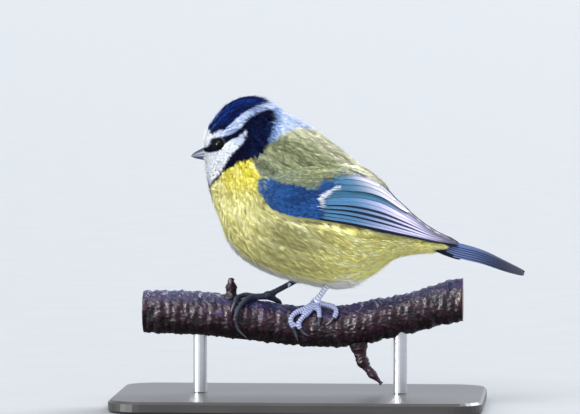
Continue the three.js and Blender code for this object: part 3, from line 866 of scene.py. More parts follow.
for name, chosen in groups.items():
    barbs = barbsOf.get(name, 10)
    tufts = growTufts(
        bodyPoint, rootA[chosen], rootB[chosen], coatLength[chosen], coatWidth[chosen], coatDepth[chosen],
        lean[chosen], barbs, 0.25 * coatWidth[chosen][:, None] + 0.08,
        stand=stand[chosen], loose=loose[chosen],
    )
    count = tufts["count"]
    streak = streaks(tufts["sampleA"], tufts["sampleB"], 1.1, 0.019)
    grain = 0.75 * streak + 0.25 * rng.uniform(0, 1, (count, barbs))
    colours = bodyShade(tufts["sampleA"], tufts["sampleB"], tufts["samplePoint"], grain)
    colours = colours * (0.74 + 0.44 * streak[..., None]) * rng.uniform(0.9, 1.08, (count, barbs, 1))
    corner = np.stack([rootB[chosen] / (2 * math.pi) * 0.99, rootA[chosen] / 14 * 0.99], -1)
    tuftPiece(name, [(tufts, colours, corner)], coatMaterial)


# Skin
def surfaceOffset(surface, a, b, depth):
    point, changeA, changeB = surfaceFrame(surface, a, b)
    normal = unit(np.cross(changeB, changeA))
    return point - normal * depth[..., None]


def bodyGrid(start, rows, sides):
    # Places along the body and angles round it
    turn = np.linspace(0, 2 * math.pi, sides, endpoint=False)
    return np.meshgrid(np.linspace(start, 14, rows), turn, indexing="ij")


places, angles = bodyGrid(0.02, 220, 150)
skinRings = surfaceOffset(bodyPoint, places, angles, coatValue("depth", places))
parts = [tube(skinRings)]
legLines = []


def padCentre(foot):
    x, turn = foot["pad"]
    return branchPoint(x, turn * degree, padRadius + gap)


def toePath(path, radius):
    return np.array([branchPoint(x, turn * degree, radius + gap) for x, turn in path])


def thighPath(foot):
    heel = np.array(foot["heel"])
    shank = unit(padCentre(foot) - heel)
    hip = heel + np.array([1.5, math.copysign(1.2, heel[1]), 7.5])
    return [hip, heel, heel + shank * thighReach]


def toeGirth(share):
    return 0.93 * (1.05 - 0.2 * share + 0.06 * np.sin(share * 16))


for side, foot in feet.items():
    pad = padCentre(foot)
    heel = np.array(foot["heel"])
    shank = unit(pad - heel)
    parts.append(tube(bar(thighPath(foot), lambda share: 3.6 - 2.6 * share ** 0.9, 20, 24)))
    tarsus = [heel + shank * 2, (heel + shank * 2 + pad) / 2, pad]
    parts.append(tube(bar(tarsus, lambda share: 0.92 * (1 + 0.25 * (2 * share - 1) ** 4), 14, 50)))
    parts.append(tube(ballRings(pad, padRadius * 1.04)))
    legLines.append((smoothLine(tarsus, 160), "tarsus"))
    for path in foot["toes"].values():
        line = toePath(path[:-2], toeRadius)
        line[0] = pad * 0.6 + line[0] * 0.4
        parts.append(tube(bar(line, toeGirth, 14, 40)))
        legLines.append((smoothLine(line, 160), "toe"))
points, faces = joinParts(parts)
skinShape = {"voxel": 0.44, "smoothing": 0.5, "rounds": 2, "legTop": 42, "legReach": 1.9}
raw = meshPiece("skin_raw", points, faces, skinMaterial)
remesh = raw.modifiers.new("close", "REMESH")
remesh.mode = "VOXEL"
remesh.voxel_size = skinShape["voxel"] * mm
smoothing = raw.modifiers.new("smooth", "SMOOTH")
smoothing.factor = skinShape["smoothing"]
smoothing.iterations = skinShape["rounds"]
closed = bpy.data.meshes.new_from_object(raw.evaluated_get(bpy.context.evaluated_depsgraph_get()))
bpy.data.objects.remove(raw)
print("skin", len(closed.vertices))

legTree = treeOf(np.concatenate([line for (line, length), kind in legLines]))
legRuns = []
for (line, length), kind in legLines:
    legRuns += [(length * index / (len(line) - 1), kind) for index in range(len(line))]


def legPlace(point):
    # Nearest place on the legs: distance, run along it, kind and the direction away from it
    found, index, distance = legTree.find(point)
    run, kind = legRuns[index]
    return distance, run, kind, Vector(point) - found


work = bmesh.new()
work.from_mesh(closed)
legEdges = set()
for vertex in work.verts:
    spot = vertex.co / mm
    if spot.z < skinShape["legTop"] and legPlace(spot)[0] < skinShape["legReach"]:
        legEdges.update(vertex.link_edges)
bmesh.ops.subdivide_edges(work, edges=list(legEdges), cuts=1, use_grid_fill=True, smooth=0.4)
bmesh.ops.triangulate(work, faces=[face for face in work.faces if len(face.verts) > 3])
work.to_mesh(closed)
work.free()
points = np.zeros(len(closed.vertices) * 3, np.float32)
closed.vertices.foreach_get("co", points)
points = points.reshape(-1, 3) / mm
normals = np.zeros(len(closed.vertices) * 3, np.float32)
closed.vertices.foreach_get("normal", normals)
normals = normals.reshape(-1, 3)
corners = np.zeros(len(closed.loops), np.int32)
closed.loops.foreach_get("vertex_index", corners)
bpy.data.meshes.remove(closed)

gridA, gridB = bodyGrid(0, 240, 160)
gridA = gridA.ravel()
gridB = gridB.ravel()
bodyTree = treeOf(bodyPoint(gridA, gridB))
nearest = np.array([bodyTree.find(point)[1] for point in points])
nearA = gridA[nearest]
nearB = gridB[nearest]
skinColours = 0.9 * bodyShade(nearA, nearB, bodyPoint(nearA, nearB), np.full(len(points), 0.5))
# Leg colours: the near leg is painted pale as if sunlit and the far leg dark as if in shade; the grooves
# between the scutes get painted shade
legShade = {
    "near": tone(206, 210, 232),
    "nearToeLit": tone(150, 158, 194),
    "far": tone(28, 34, 50),
    "grooveShade": tone(14, 18, 32),
}
# Scutes: raised plates along the toes and down the front of the shank, in millimetres
scute = {"tarsus": 1.15, "toe": 0.8, "height": 0.17, "reach": 2.2, "bareBelow": 39.5, "coatAbove": 41.5}
for index, point in enumerate(points):
    distance, run, kind, outward = legPlace(point)
    if point[2] > scute["coatAbove"] or distance > scute["reach"]:
        continue
    wave = abs(math.sin(math.pi * run / scute[kind]))
    front = 1.0 if kind == "toe" else smoothStep(-0.3, 0.3, -outward.x / max(distance, 0.1))
    points[index] += normals[index] * (wave ** 0.4 - 0.75) * scute["height"] * front
    nearLeg = point[0] > -4 and point[1] < 4 - 0.8 * (point[0] < 0)
    # Painted light on the near leg, painted shade on the far leg and in the scute grooves
    nearLitShade = legShade["near"] if kind == "tarsus" else legShade["nearToeLit"]
    base = nearLitShade if nearLeg else legShade["far"]
    shade = blendTones(legShade["grooveShade"], base, min(1.0, 0.1 + wave ** 1.2 + 0.4 * (1 - front)))
    bare = smoothStep(scute["coatAbove"], scute["bareBelow"], point[2])
    skinColours[index] = blendTones(skinColours[index], shade, bare)
skinUv = np.stack([nearB / (2 * math.pi) * 0.99, nearA / 14 * 0.99], -1)
skin = meshPiece("skin", points, corners.reshape(-1, 3), skinMaterial, skinColours, skinUv)
fleshNodes = ["head", "neck", "trunk", "rump"]
for side in ("left", "right"):
    fleshNodes += [f"thigh_{side}", f"tarsus_{side}", f"foot_{side}"]
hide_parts(*fleshNodes)
print("skin done", len(points))


# Thighs
def thighSurface(side):
    line, length = smoothLine(thighPath(feet[side]), 60)

    def surface(a, b):
        share = np.clip(a, 0, 1)
        place = share * 59
        centre = np.stack([np.interp(place, np.arange(60), line[:, axis]) for axis in range(3)], -1)
        way = unit(line[-1] - line[0])
        first = unit(np.cross(way, np.array([0.0, 1.0, 0.0])))
        second = np.cross(way, first)
        radius = (4.8 - 3.4 * share ** 0.9)[..., None]
        over = (a - share)[..., None] * length * way
        return centre + over + radius * (first * np.cos(b)[..., None] + second * np.sin(b)[..., None])

    return surface


batches = []
for side in ("left", "right"):
    surface = thighSurface(side)
    point, changeA, changeB = surfaceFrame(surface, np.array([0.5]), np.array([0.0]))
    outward = unit(np.cross(changeB, changeA))
    centre = surface(np.array([0.5]), np.array([math.pi]))
    sign = 1.0 if ((point - centre) * outward).sum() > 0 else -1.0
    a, b = scatter(surface, 0.3, 0.86, 0.0, 2 * math.pi, lambda place: np.full(len(place), 0.8))
    count = len(a)
    tufts = growTufts(
        surface, a, b, rng.uniform(2.6, 3.8, count), rng.uniform(0.5, 0.8, count), 1.1 - 0.6 * a,
        rng.normal(0, 0.2, count), 10, 0.17, stand=rng.normal(0.1, 0.25, count), sign=sign,
    )
    grain = rng.uniform(0, 1, (count, 10))
    colours = blendTones(tone(226, 224, 200), tone(190, 186, 130), grain)
    colours = colours * rng.uniform(0.85, 1.1, (count, 1, 1))
    batches.append((tufts, colours, np.stack([b / (2 * math.pi) * 0.4 + 0.02, a * 0.5], -1)))
tuftPiece("coat_thighs", batches, coatMaterial)


# Wings and tail
def chordOf(place):
    row = along(wing, place)
    return np.linalg.norm(row[..., 3:6] - row[..., 0:3], axis=-1)


def widthOfTail(place):
    return along(tail, place)[..., 2]


vaneRows = 26
vaneColumns = np.array([-1.0, -0.78, -0.5, -0.22, -0.05, 0.05, 0.22, 0.45, 0.6, 0.72, 0.86, 1.0])


def vane(surface, scaleOf, feather, sign, paintAt, patch):
    # One closed flat feather: rows run from its root to its tip, columns from its upper to its lower edge.
    # Its lift and slope count along the normal, which points down on the tail.
    share = np.linspace(0, 1, vaneRows)
    a = feather["root"][0] + (feather["tip"][0] - feather["root"][0]) * share
    b = feather["root"][1] + (feather["tip"][1] - feather["root"][1]) * share
    tipFrom = feather.get("tipFrom", 0.82)
    rounding = np.clip((share - tipFrom) / (1 - tipFrom), 0, 1)
    outline = np.sqrt(np.clip(1 - rounding ** 2.4, 0.0, 1)) * (0.55 + 0.45 * smoothStep(0, 0.2, share))
    outline = np.maximum(outline, 0.05)
    half = feather["half"] * outline
    column = vaneColumns[None, :]
    offset = column * half[:, None]
    placeA = np.broadcast_to(a[:, None], offset.shape)
    across = b[:, None] + (offset - feather.get("anchor", 0.0) * half[:, None]) / scaleOf(placeA)
    across = np.maximum(across, feather.get("limit", -9.0))
    point, changeA, changeB = surfaceFrame(surface, placeA, across)
    normal = unit(np.cross(changeB, changeA)) * sign
    shaft = 0.03 * np.exp(-(column / 0.06) ** 2)
    height = feather["lift"] + feather.get("slope", 0.0) * share[:, None] - 0.04 * column ** 2 + shaft
    top = point + normal * height[..., None]
    under = top - normal * 0.07
    rows, columns = offset.shape
    points = np.concatenate([top.reshape(-1, 3), under.reshape(-1, 3)])
    count = rows * columns
    cell = (np.arange(rows - 1)[:, None] * columns + np.arange(columns - 1)[None, :]).ravel()
    upper = np.stack([cell, cell + 1, cell + columns + 1, cell + columns], -1)
    lower = upper[:, ::-1] + count
    edge = np.concatenate([
        np.arange(columns - 1), np.arange(rows - 1) * columns + columns - 1,
        (rows - 1) * columns + np.arange(columns - 1, 0, -1), np.arange(rows - 1, 0, -1) * columns,
    ])
    following = np.roll(edge, -1)
    rim = np.stack([following, edge, edge + count, following + count], -1)
    quads = np.concatenate([upper, lower, rim])
    if sign < 0:
        quads = quads[:, ::-1]
    shares = np.broadcast_to(share[:, None], offset.shape)
    columnsHere = np.broadcast_to(column, offset.shape)
    paint = paintAt(shares, columnsHere, half[:, None] + 0 * offset, placeA, across)
    colours = np.concatenate([paint.reshape(-1, 3), paint.reshape(-1, 3) * 0.6])
    mark = np.stack([shares, columnsHere, np.full(offset.shape, feather["lift"])], -1).reshape(-1, 3)
    uv = np.stack([patch[0] + (columnsHere + 1) * patch[2], patch[1] + shares * patch[3]], -1)
    return points, quads, colours, np.tile(mark, (2, 1)), np.tile(uv.reshape(-1, 2), (2, 1))


def vanePiece(name, vanes, material):
    points, faces = joinParts([one[:2] for one in vanes])
    colours, marks, uvs = (np.concatenate([one[part] for one in vanes]) for part in (2, 3, 4))
    return meshPiece(name, points, faces, material, colours, uvs, marks)


def quillMaterial(name, roughness):
    # Fine slanting barbs on each side of the shaft
    material, tree, shader = newMaterial(name)
    mark = addNode(tree, "ShaderNodeAttribute", attribute_name="vane")
    parts = addNode(tree, "ShaderNodeSeparateXYZ")
    tree.links.new(mark.outputs["Vector"], parts.inputs[0])
    away = addNode(tree, "ShaderNodeMath", operation="ABSOLUTE")
    tree.links.new(parts.outputs["Y"], away.inputs[0])
    slant = addNode(tree, "ShaderNodeMath", operation="MULTIPLY")
    slant.inputs[1].default_value = -0.05
    tree.links.new(away.outputs[0], slant.inputs[0])
    line = addNode(tree, "ShaderNodeMath", operation="ADD")
    tree.links.new(parts.outputs["X"], line.inputs[0])
    tree.links.new(slant.outputs[0], line.inputs[1])
    joined = addNode(tree, "ShaderNodeCombineXYZ")
    tree.links.new(line.outputs[0], joined.inputs["X"])
    tree.links.new(parts.outputs["Z"], joined.inputs["Y"])
    barbs = addNode(tree, "ShaderNodeTexNoise", Scale=150.0, Detail=3.0, Roughness=0.6)
    tree.links.new(joined.outputs[0], barbs.inputs["Vector"])
    mottledPaint(tree, shader, barbs.outputs["Fac"], 0.78, 1.2)
    shader.inputs["Roughness"].default_value = roughness
    shader.inputs["Specular IOR Level"].default_value = 0.08
    bumpInto(tree, shader, barbs.outputs["Fac"], 0.35, 0.08)
    return material


quillPaint = quillMaterial("quill", 0.7)
quillShade = {
    "dark": tone(20, 26, 44),
    "shaft": tone(14, 18, 30),
    "teal": tone(62, 102, 136),
    "tealDeep": tone(48, 86, 112),
    "tealPale": tone(122, 164, 200),
    "grey": tone(160, 157, 166),
    "lilac": tone(168, 160, 186),
    "white": tone(222, 226, 236),
    "blue": tone(50, 98, 164),
    "deepBlue": tone(34, 66, 120),
    "tailBlue": tone(56, 84, 134),
    "tailPale": tone(140, 146, 182),
}


def flightPaint(edgeWidth, edgeShade, paleFrom, tipWhite=0.0, rimShare=0.5):
    def paintAt(share, column, half, place, across):
        fromEdge = (1 - column) * half
        edge = smoothStep(edgeWidth + 0.08, edgeWidth - 0.08, fromEdge)
        paleShare = smoothStep(paleFrom - 0.25, paleFrom + 0.2, share)
        bright = blendTones(edgeShade, quillShade["lilac"], paleShare)
        rim = smoothStep(0.2, 0.05, fromEdge)
        bright = blendTones(bright, quillShade["tealPale"], rimShare * rim)
        bright = bright * (1 - 0.78 * smoothStep(0.68, 0.94, share))[..., None]
        # Past the bright edge the vane is dark: its own dark inner web, and partly painted shadow between
        # the overlapping feathers
        colour = blendTones(quillShade["dark"], bright, edge)
        tip = tipWhite * smoothStep(0.965, 0.985, share) * smoothStep(-0.2, 0.6, column)
        return blendTones(colour, quillShade["white"], tip)

    return paintAt


def darkPaint(share, column, half, place, across):
    return quillShade["dark"] * 0.7 + 0 * share[..., None]


def tertialPaint(share, column, half, place, across):
    colour = blendTones(quillShade["tealDeep"], quillShade["grey"], smoothStep(0.15, 0.75, share))
    colour = blendTones(colour, quillShade["dark"], 0.5 * smoothStep(0.0, -0.9, column))
    fromEdge = np.minimum((1 - column) * half, (1 + column) * half)
    colour = blendTones(colour, quillShade["tealPale"], 0.3 * smoothStep(0.3, 0.1, fromEdge))
    colour = blendTones(colour, quillShade["dark"], 0.6 * smoothStep(0.1, 0.04, np.abs(column)))
    tip = smoothStep(0.95, 0.98, share) * smoothStep(-0.4, 0.6, column)
    return blendTones(colour, quillShade["white"], tip)


primaryTips = [(6.3, 0.97), (6.85, 0.95), (7.0, 0.86), (6.95, 0.72), (6.7, 0.6), (6.4, 0.52)]
secondaryTips = [(6.3, 0.36), (6.0, 0.27), (5.7, 0.22), (5.4, 0.17), (5.1, 0.13)]
tertials = [
    {"root": (2.5, 0.36), "tip": (5.3, 0.16), "half": 2.4, "lift": 0.06, "limit": 0.02},
    {"root": (2.5, 0.24), "tip": (4.8, 0.1), "half": 2.2, "lift": 0.17, "limit": 0.02},
    {"root": (2.4, 0.12), "tip": (4.1, 0.08), "half": 2.0, "lift": 0.28, "limit": 0.02},
]
# The lowest primary is painted near-black as the shadow under the lower edge of the wing
lowest = {
    "root": (1.7, 1.02), "tip": (6.95, 1.03), "half": 1.2, "anchor": 1.0, "lift": -1.35, "tipFrom": 0.92,
}
wingSides = (("left", wingPoint, 1.0), ("right", wingPointRight, -1.0))
for side, surface, sign in wingSides:
    primaries = [vane(surface, chordOf, lowest, sign, darkPaint, (0.8, 0.02, 0.055, 0.9))]
    for index, tip in enumerate(primaryTips):
        feather = {
            "root": (1.7, 0.985 - 0.064 * index), "tip": tip, "half": 1.7, "anchor": 1.0,
            "lift": -1.2 + 0.11 * index, "tipFrom": 0.9, "limit": 0.02,
        }
        paintAt = flightPaint(0.78 if index < 4 else 3.4, quillShade["teal"], 0.5)
        patch = (0.02 + 0.13 * index, 0.02, 0.055, 0.9)
        primaries.append(vane(surface, chordOf, feather, sign, paintAt, patch))
    piece = vanePiece(f"primaries_{side}", primaries, quillPaint)
    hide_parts(f"wing_{side}_primaries")
    secondaries = []
    for index, tip in enumerate(secondaryTips):
        feather = {
            "root": (1.9, 0.62 - 0.055 * index), "tip": tip, "half": 2.0, "anchor": 1.0,
            "lift": -0.52 + 0.11 * index, "tipFrom": 0.9, "limit": 0.02,
        }
        paintAt = flightPaint(2.4, quillShade["tealDeep"], 0.75, 0.8, 0.1)
        patch = (0.02 + 0.15 * index, 0.02, 0.065, 0.9)
        secondaries.append(vane(surface, chordOf, feather, sign, paintAt, patch))
    piece = vanePiece(f"secondaries_{side}", secondaries, quillPaint)
    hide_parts(f"wing_{side}_secondaries")
    upper = []
    for index, feather in enumerate(tertials):
        patch = (0.02 + 0.3 * index, 0.02, 0.13, 0.9)
        upper.append(vane(surface, chordOf, feather, sign, tertialPaint, patch))
    piece = vanePiece(f"tertials_{side}", upper, quillPaint)
    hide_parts(f"wing_{side}_tertials")
print("wings ready")

# Small blue coverts, the white bar and the feathers of the shoulder that lie over the wing, in pixels
shoulderLine = [
    (250, 176), (258, 180), (269, 177), (283, 184), (297, 185), (309, 189), (318, 190), (323, 181),
    (344, 181), (352, 186), (380, 198),
]
barLine = [(323.5, 208), (323.5, 197), (333, 192), (338, 189.4), (347.5, 184), (352, 178)]


def lineDistance(line, x, y):
    # Distance in pixels from an outline
    line = np.array(line, float)
    nearest = np.full(np.shape(x), 1e9)
    for start, end in zip(line[:-1], line[1:]):
        run = end - start
        share = np.clip(((x - start[0]) * run[0] + (y - start[1]) * run[1]) / (run @ run), 0, 1)
        foot = start + share[..., None] * run
        nearest = np.minimum(nearest, np.hypot(x - foot[..., 0], y - foot[..., 1]))
    return nearest


def covertShade(points, grain):
    x, y = toPixels(points)
    blue = blendTones(quillShade["deepBlue"], quillShade["blue"], smoothStep(0.1, 0.8, grain))
    blue = blendTones(blue, tone(64, 104, 150), 0.5 * smoothStep(290, 258, x))
    bar = smoothStep(3.4, 2.0, lineDistance(barLine, x, y) + 1.5 * (grain - 0.5))
    blue = blendTones(blue, quillShade["white"], bar)
    above = smoothStep(1.2, -1.2, y - lineY(shoulderLine, x) + 2 * (grain - 0.5))
    shoulder = blendTones(shades["mantle"], shades["mantleBlue"], 0.6) * (0.75 + 0.4 * grain[..., None])
    return blendTones(blue, shoulder, above)


def scapularShade(points, grain):
    x, y = toPixels(points)
    colour = backShade(x, y, grain)
    first = smoothStep(1.6, 0.6, lineDistance([(350, 170), (365, 177)], x, y))
    colour = blendTones(colour, tone(70, 72, 92), 0.9 * first)
    second = smoothStep(1.6, 0.6, lineDistance([(353, 177), (368, 181), (388, 193)], x, y))
    return blendTones(colour, quillShade["white"], 0.9 * second)


def barPlace(across):
    # Where along the wing the white bar ends the coverts
    ends = [3.3, 3.1, 3.0, 2.78, 2.58, 2.42, 2.34, 2.3]
    return np.interp(across, [0, 0.2, 0.3, 0.4, 0.5, 0.6, 0.8, 1.0], ends)


for side, surface, sign in wingSides:
    a, b = scatter(surface, -0.05, 3.0, -0.02, 1.0, lambda place: 0.46 + 0.08 * place)
    covertLength = 3.0 + 1.3 * a
    inside = a + covertLength / 10.0 < barPlace(b) + 0.05
    inside &= b > np.interp(a, [1.2, 1.8, 3.0], [-0.1, 0.22, 0.24])
    a, b, covertLength = a[inside], b[inside], covertLength[inside]
    count = len(a)
    tufts = growTufts(
        surface, a, b, covertLength * rng.uniform(0.9, 1.1, count), 0.34 + 0.05 * a, 0.8 * np.ones(count),
        rng.normal(0.02, 0.04, count), 9, 0.2,
        stand=0.12 + 0.05 * rng.normal(0, 1, count), sign=sign, splay=0.1,
    )
    streak = streaks(tufts["sampleA"], tufts["sampleB"], 0.5, 0.05)
    grain = 0.6 * streak + 0.4 * rng.uniform(0, 1, (count, 9))
    nearPoint = tufts["samplePoint"] * np.array([1.0, sign, 1.0])
    colours = covertShade(nearPoint, grain) * rng.uniform(0.88, 1.1, (count, 1, 1))
    corner = np.stack([b * 0.4 + 0.02, a * 0.3 + 0.03], -1)
    piece = tuftPiece(f"coverts_{side}", [(tufts, colours, corner)], coatMaterial)
    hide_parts(f"wing_{side}_coverts")
    # Mantle feathers that lie over the upper edge of the wing
    a, b = scatter(surface, 0.9, 4.1, -0.16, 0.34, lambda place: 0.66 + 0 * place)
    inside = b < np.interp(a, [0.9, 1.6, 2.2, 2.8, 3.4, 4.1], [0.1, 0.16, 0.1, 0.03, 0.0, -0.03])
    a, b = a[inside], b[inside]
    count = len(a)
    tufts = growTufts(
        surface, a, b, rng.uniform(4.5, 6.0, count), np.full(count, 0.45), 0.9 * np.ones(count),
        rng.normal(0, 0.05, count) - sign * np.interp(a, [0.9, 4.1], [0.5, 0.15]), 10, 0.2,
        stand=np.interp(b, [-0.16, 0.0, 0.3], [0.1, 0.7, 0.9]) * np.interp(a, [0.9, 1.9], [0.2, 1]),
        sign=sign, splay=0.1,
    )
    streak = streaks(tufts["sampleA"], tufts["sampleB"], 1.2, 0.03)
    grain = 0.75 * streak + 0.25 * rng.uniform(0, 1, (count, 10))
    nearPoint = tufts["samplePoint"] * np.array([1.0, sign, 1.0])
    colours = scapularShade(nearPoint, grain) * (0.7 + 0.42 * streak[..., None])
    colours = colours * rng.uniform(0.9, 1.08, (count, 10, 1))
    corner = np.stack([b * 0.4 + 0.1, a * 0.2 + 0.03], -1)
    tuftPiece(f"scapulars_{side}", [(tufts, colours, corner)], coatMaterial)
    # The dark plate under the feathers
    grid = np.meshgrid(np.linspace(0.1, 6.6, 60), np.linspace(0.12, 0.95, 16), indexing="ij")
    point, changeA, changeB = surfaceFrame(surface, *grid)
    normal = unit(np.cross(changeB, changeA)) * sign
    rings = np.concatenate([point - normal * 1.6, (point - normal * 1.8)[:, ::-1]], 1)
    points, faces = tube(rings)
    faces = faces if sign > 0 else faces[:, ::-1]
    colours = np.broadcast_to(tone(20, 28, 50), (len(points), 3))
    meshPiece(f"wing_core_{side}", points, faces, skinMaterial, colours)


def tailPaint(share, column, half, place, across):
    outer = np.where(across >= 0, column, -column)
    fromEdge = (1 - outer) * half
    blue = blendTones(quillShade["tailBlue"], quillShade["tailBlue"] * 0.6, smoothStep(0.4, 1, share))
    inner = blendTones(quillShade["dark"], blue, 0.4 + 0.6 * smoothStep(0.3, 0.2, np.abs(across)))
    colour = blendTones(inner, blue, smoothStep(-0.1, 0.1, outer))
    colour = blendTones(colour, quillShade["tailPale"], 0.7 * smoothStep(0.3, 0.1, fromEdge))
    colour = blendTones(colour, quillShade["shaft"], smoothStep(0.1, 0.05, np.abs(column)))
    return colour * (1 - 0.8 * smoothStep(0.25, 0.75, share))[..., None]


tailVanes = []
for index in range(6):
    for way in (-1, 1):
        centre = way * (0.1 + 0.152 * index)
        feather = {
            "root": (0.0, way * (0.08 + 0.1 * index)), "tip": (4.0 - 0.03 * index, centre), "half": 1.75,
            "lift": 0.44 * index - 0.2 + (0.02 if way > 0 else 0.0), "slope": -0.46 * index - 0.5,
            "tipFrom": 0.9,
        }
        patch = (0.02 + 0.16 * index, 0.02 + 0.48 * (way > 0), 0.07, 0.44)
        tailVanes.append(vane(tailPoint, widthOfTail, feather, 1.0, tailPaint, patch))
# A short dark feather under each side
for way in (-1, 1):
    feather = {
        "root": (-1.2, way * 0.95), "tip": (1.0, way * 1.02), "half": 0.8, "lift": 0.7, "slope": 0.9,
        "tipFrom": 0.5,
    }
    patch = (0.9, 0.5 + 0.2 * way, 0.03, 0.1)
    tailVanes.append(vane(tailPoint, widthOfTail, feather, 1.0, darkPaint, patch))
piece = vanePiece("tail_vanes", tailVanes, quillPaint)
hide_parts("tail")

# Eyes, lids and bill
eyeMaterial, tree, shader = newMaterial("eye")
grain = addNode(tree, "ShaderNodeTexNoise", Scale=900.0, Detail=3.0)
rampColour(tree, shader, grain.outputs["Fac"], (0.0008, 0.0008, 0.001), (0.003, 0.002, 0.0018))
shader.inputs["Roughness"].default_value = 0.05
shader.inputs["Specular IOR Level"].default_value = 0.08

hornMaterial = paintMaterial("horn", 0.4, 0.12, 2500, 0.1, specular=0.25)
lidMaterial = paintMaterial("lid", 0.7, 0.15, 3000, 0.3, specular=0.05)
lid = {"radius": 1.66, "height": 1.56, "thick": 0.24, "steps": 48, "sides": 10}
for side, centre in eyeCentres.items():
    outward = eyeWay(side)
    points, faces = tube(ballRings(centre, eyeRadius, 25, 40, outward))
    piece = meshPiece(f"eyeball_{side}", points, faces, eyeMaterial)
    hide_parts(f"eye_{side}")
    # Lids: a thin swollen ring where the eye leaves the plumage
    first = unit(np.cross(outward, np.array([0.0, 0.0, 1.0])))
    second = np.cross(outward, first)
    turn = np.linspace(0, 2 * math.pi, lid["steps"], endpoint=False)
    roll = np.linspace(0, 2 * math.pi, lid["sides"], endpoint=False)
    ringWay = first * np.cos(turn)[:, None] + second * np.sin(turn)[:, None]
    radius = lid["radius"] + 0.02 * np.sin(9 * turn)
    core = centre + outward * lid["height"] + ringWay * radius[:, None]
    thick = lid["thick"] + 0.03 * np.sin(24 * turn)
    ring = core[:, None] + thick[:, None, None] * (
        ringWay[:, None] * np.cos(roll)[None, :, None] + outward * np.sin(roll)[None, :, None]
    )
    start = np.arange(lid["steps"])[:, None] * lid["sides"]
    follow = np.roll(start, -1, 0)
    cell = np.arange(lid["sides"])
    beside = np.roll(cell, -1)
    faces = np.stack([start + cell, start + beside, follow + beside, follow + cell], -1).reshape(-1, 4)
    colours = np.broadcast_to(tone(4, 5, 10), (lid["steps"] * lid["sides"], 3))
    meshPiece(f"lids_{side}", ring.reshape(-1, 3), faces, lidMaterial, colours)

bill = {
    "root": np.array([-29.4, 0.0, 80.15]), "length": 6.1, "drop": 7 * degree, "taper": 0.65, "half": 1.75,
    "upper": 2.55, "lower": 2.05, "hook": 0.25, "parting": 0.06,
}


def billRings(upper, rows=40, sides=28):
    share = np.linspace(0, 1, rows)
    taper = (1 - share) ** bill["taper"]
    length = bill["length"] if upper else bill["length"] * 0.95
    width = bill["half"] * taper + 0.06
    height = (bill["upper"] if upper else bill["lower"]) * taper + 0.08
    hook = -bill["hook"] * share ** 3 if upper else 0 * share
    turn = np.linspace(0, 2 * math.pi, sides, endpoint=False)
    arc = np.sin(turn)
    y = width[:, None] * np.cos(turn)
    rise = np.where(arc > 0, arc, -0.03 * np.abs(arc)) * height[:, None]
    z = (rise if upper else -rise) + math.copysign(bill["parting"], 1 if upper else -1) + hook[:, None]
    x = -share[:, None] * length + 0 * y
    drop = bill["drop"]
    swing = np.array([[math.cos(drop), 0, -math.sin(drop)], [0, 1, 0], [math.sin(drop), 0, math.cos(drop)]])
    rings = np.stack([x, y, z], -1) @ swing.T + bill["root"]
    return turned(rings, 1.0), share, arc


for name, upper in (("upper", True), ("lower", False)):
    rings, share, arc = billRings(upper)
    points, faces = tube(rings)
    if not upper:
        faces = faces[:, ::-1]
    dark = tone(40, 48, 72) if upper else tone(58, 66, 92)
    edge = smoothStep(0.3, 0.05, np.abs(arc))[None, :] + 0 * share[:, None]
    paleShare = np.clip(0.65 * edge + 0.5 * smoothStep(0.8, 1, share)[:, None], 0, 1)
    colours = blendTones(dark, tone(150, 146, 160), paleShare)
    colours = np.concatenate([colours.reshape(-1, 3), colours[:1].mean(1), colours[-1:].mean(1)])
    piece = meshPiece(f"bill_{name}_horn", points, faces, hornMaterial, colours)
    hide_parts(f"bill_{name}")

# Claws
claw = {"rows": 14, "sides": 12, "root": 0.56, "tip": 0.06}
clawShade = blendTones(tone(30, 32, 42), tone(90, 92, 108), np.linspace(0, 1, claw["rows"]))


def clawGirth(share):
    return claw["root"] * (1 - share) ** 0.7 + claw["tip"]


for side, foot in feet.items():
    for toe, path in foot["toes"].items():
        toeEnd = toePath(path, toeRadius)[-3]
        bend = toePath(path, clawRadius)[-2]
        tip = toePath(path, 0.15)[-1]
        start = toeEnd + unit(bend - toeEnd) * -0.2
        points, faces = tube(bar([start, bend, tip], clawGirth, claw["sides"], claw["rows"]))
        colours = np.repeat(clawShade, claw["sides"], 0)
        colours = np.concatenate([colours, clawShade[:1], clawShade[-1:]])
        piece = meshPiece(f"nail_{side}_{toe}", points, faces, hornMaterial, colours)
        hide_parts(f"claw_{side}_{toe}")


# Branch
def barkMaterial():
    # Mottled paint, shinier in places, over flakes and grain that run with the branch
    material, tree, shader = newMaterial("bark")
    grain, place = noiseAt(tree, 900.0, 7.0, 0.65, (0.45, 1.0, 1.0))
    flakes = addNode(tree, "ShaderNodeTexVoronoi", Scale=520.0)
    tree.links.new(place, flakes.inputs["Vector"])
    mottledPaint(tree, shader, grain, 0.3, 1.7)
    tree.links.new(spreadValue(tree, grain, 0.0, 1.0, 0.12, 0.7), shader.inputs["Roughness"])
    shader.inputs["Specular IOR Level"].default_value = 0.25
    shader.inputs["Coat Weight"].default_value = 0.08
    shader.inputs["Coat Roughness"].default_value = 0.15
    height = addNode(tree, "ShaderNodeMath", operation="ADD")
    tree.links.new(grain, height.inputs[0])
    tree.links.new(flakes.outputs["Distance"], height.inputs[1])
    bumpInto(tree, shader, height.outputs[0], 0.6, 0.35)
    return material


barkPaint = barkMaterial()
barkShade = {"deep": tone(4, 3, 8), "red": tone(44, 11, 28), "grey": tone(52, 66, 112)}


def barkHeight(points):
    # Flaky rings round the branch, fissures and fine grit, in millimetres
    heights = np.empty(len(points))
    for index, point in enumerate(points):
        spot = Vector(point)
        rings = noise.noise(Vector((spot.x * 0.8 + 0.15 * spot.z, spot.y * 0.2, spot.z * 0.2)))
        knots = noise.noise(spot * 0.28 + Vector((4, 9, 2)))
        grit = noise.noise(Vector((spot.x * 1.1, spot.y * 1.7, spot.z * 1.7)))
        fine = noise.noise(spot * 3.1)
        heights[index] = 0.24 * rings + 0.4 * knots + 0.42 * max(grit, -0.1) + 0.1 * fine
    return heights


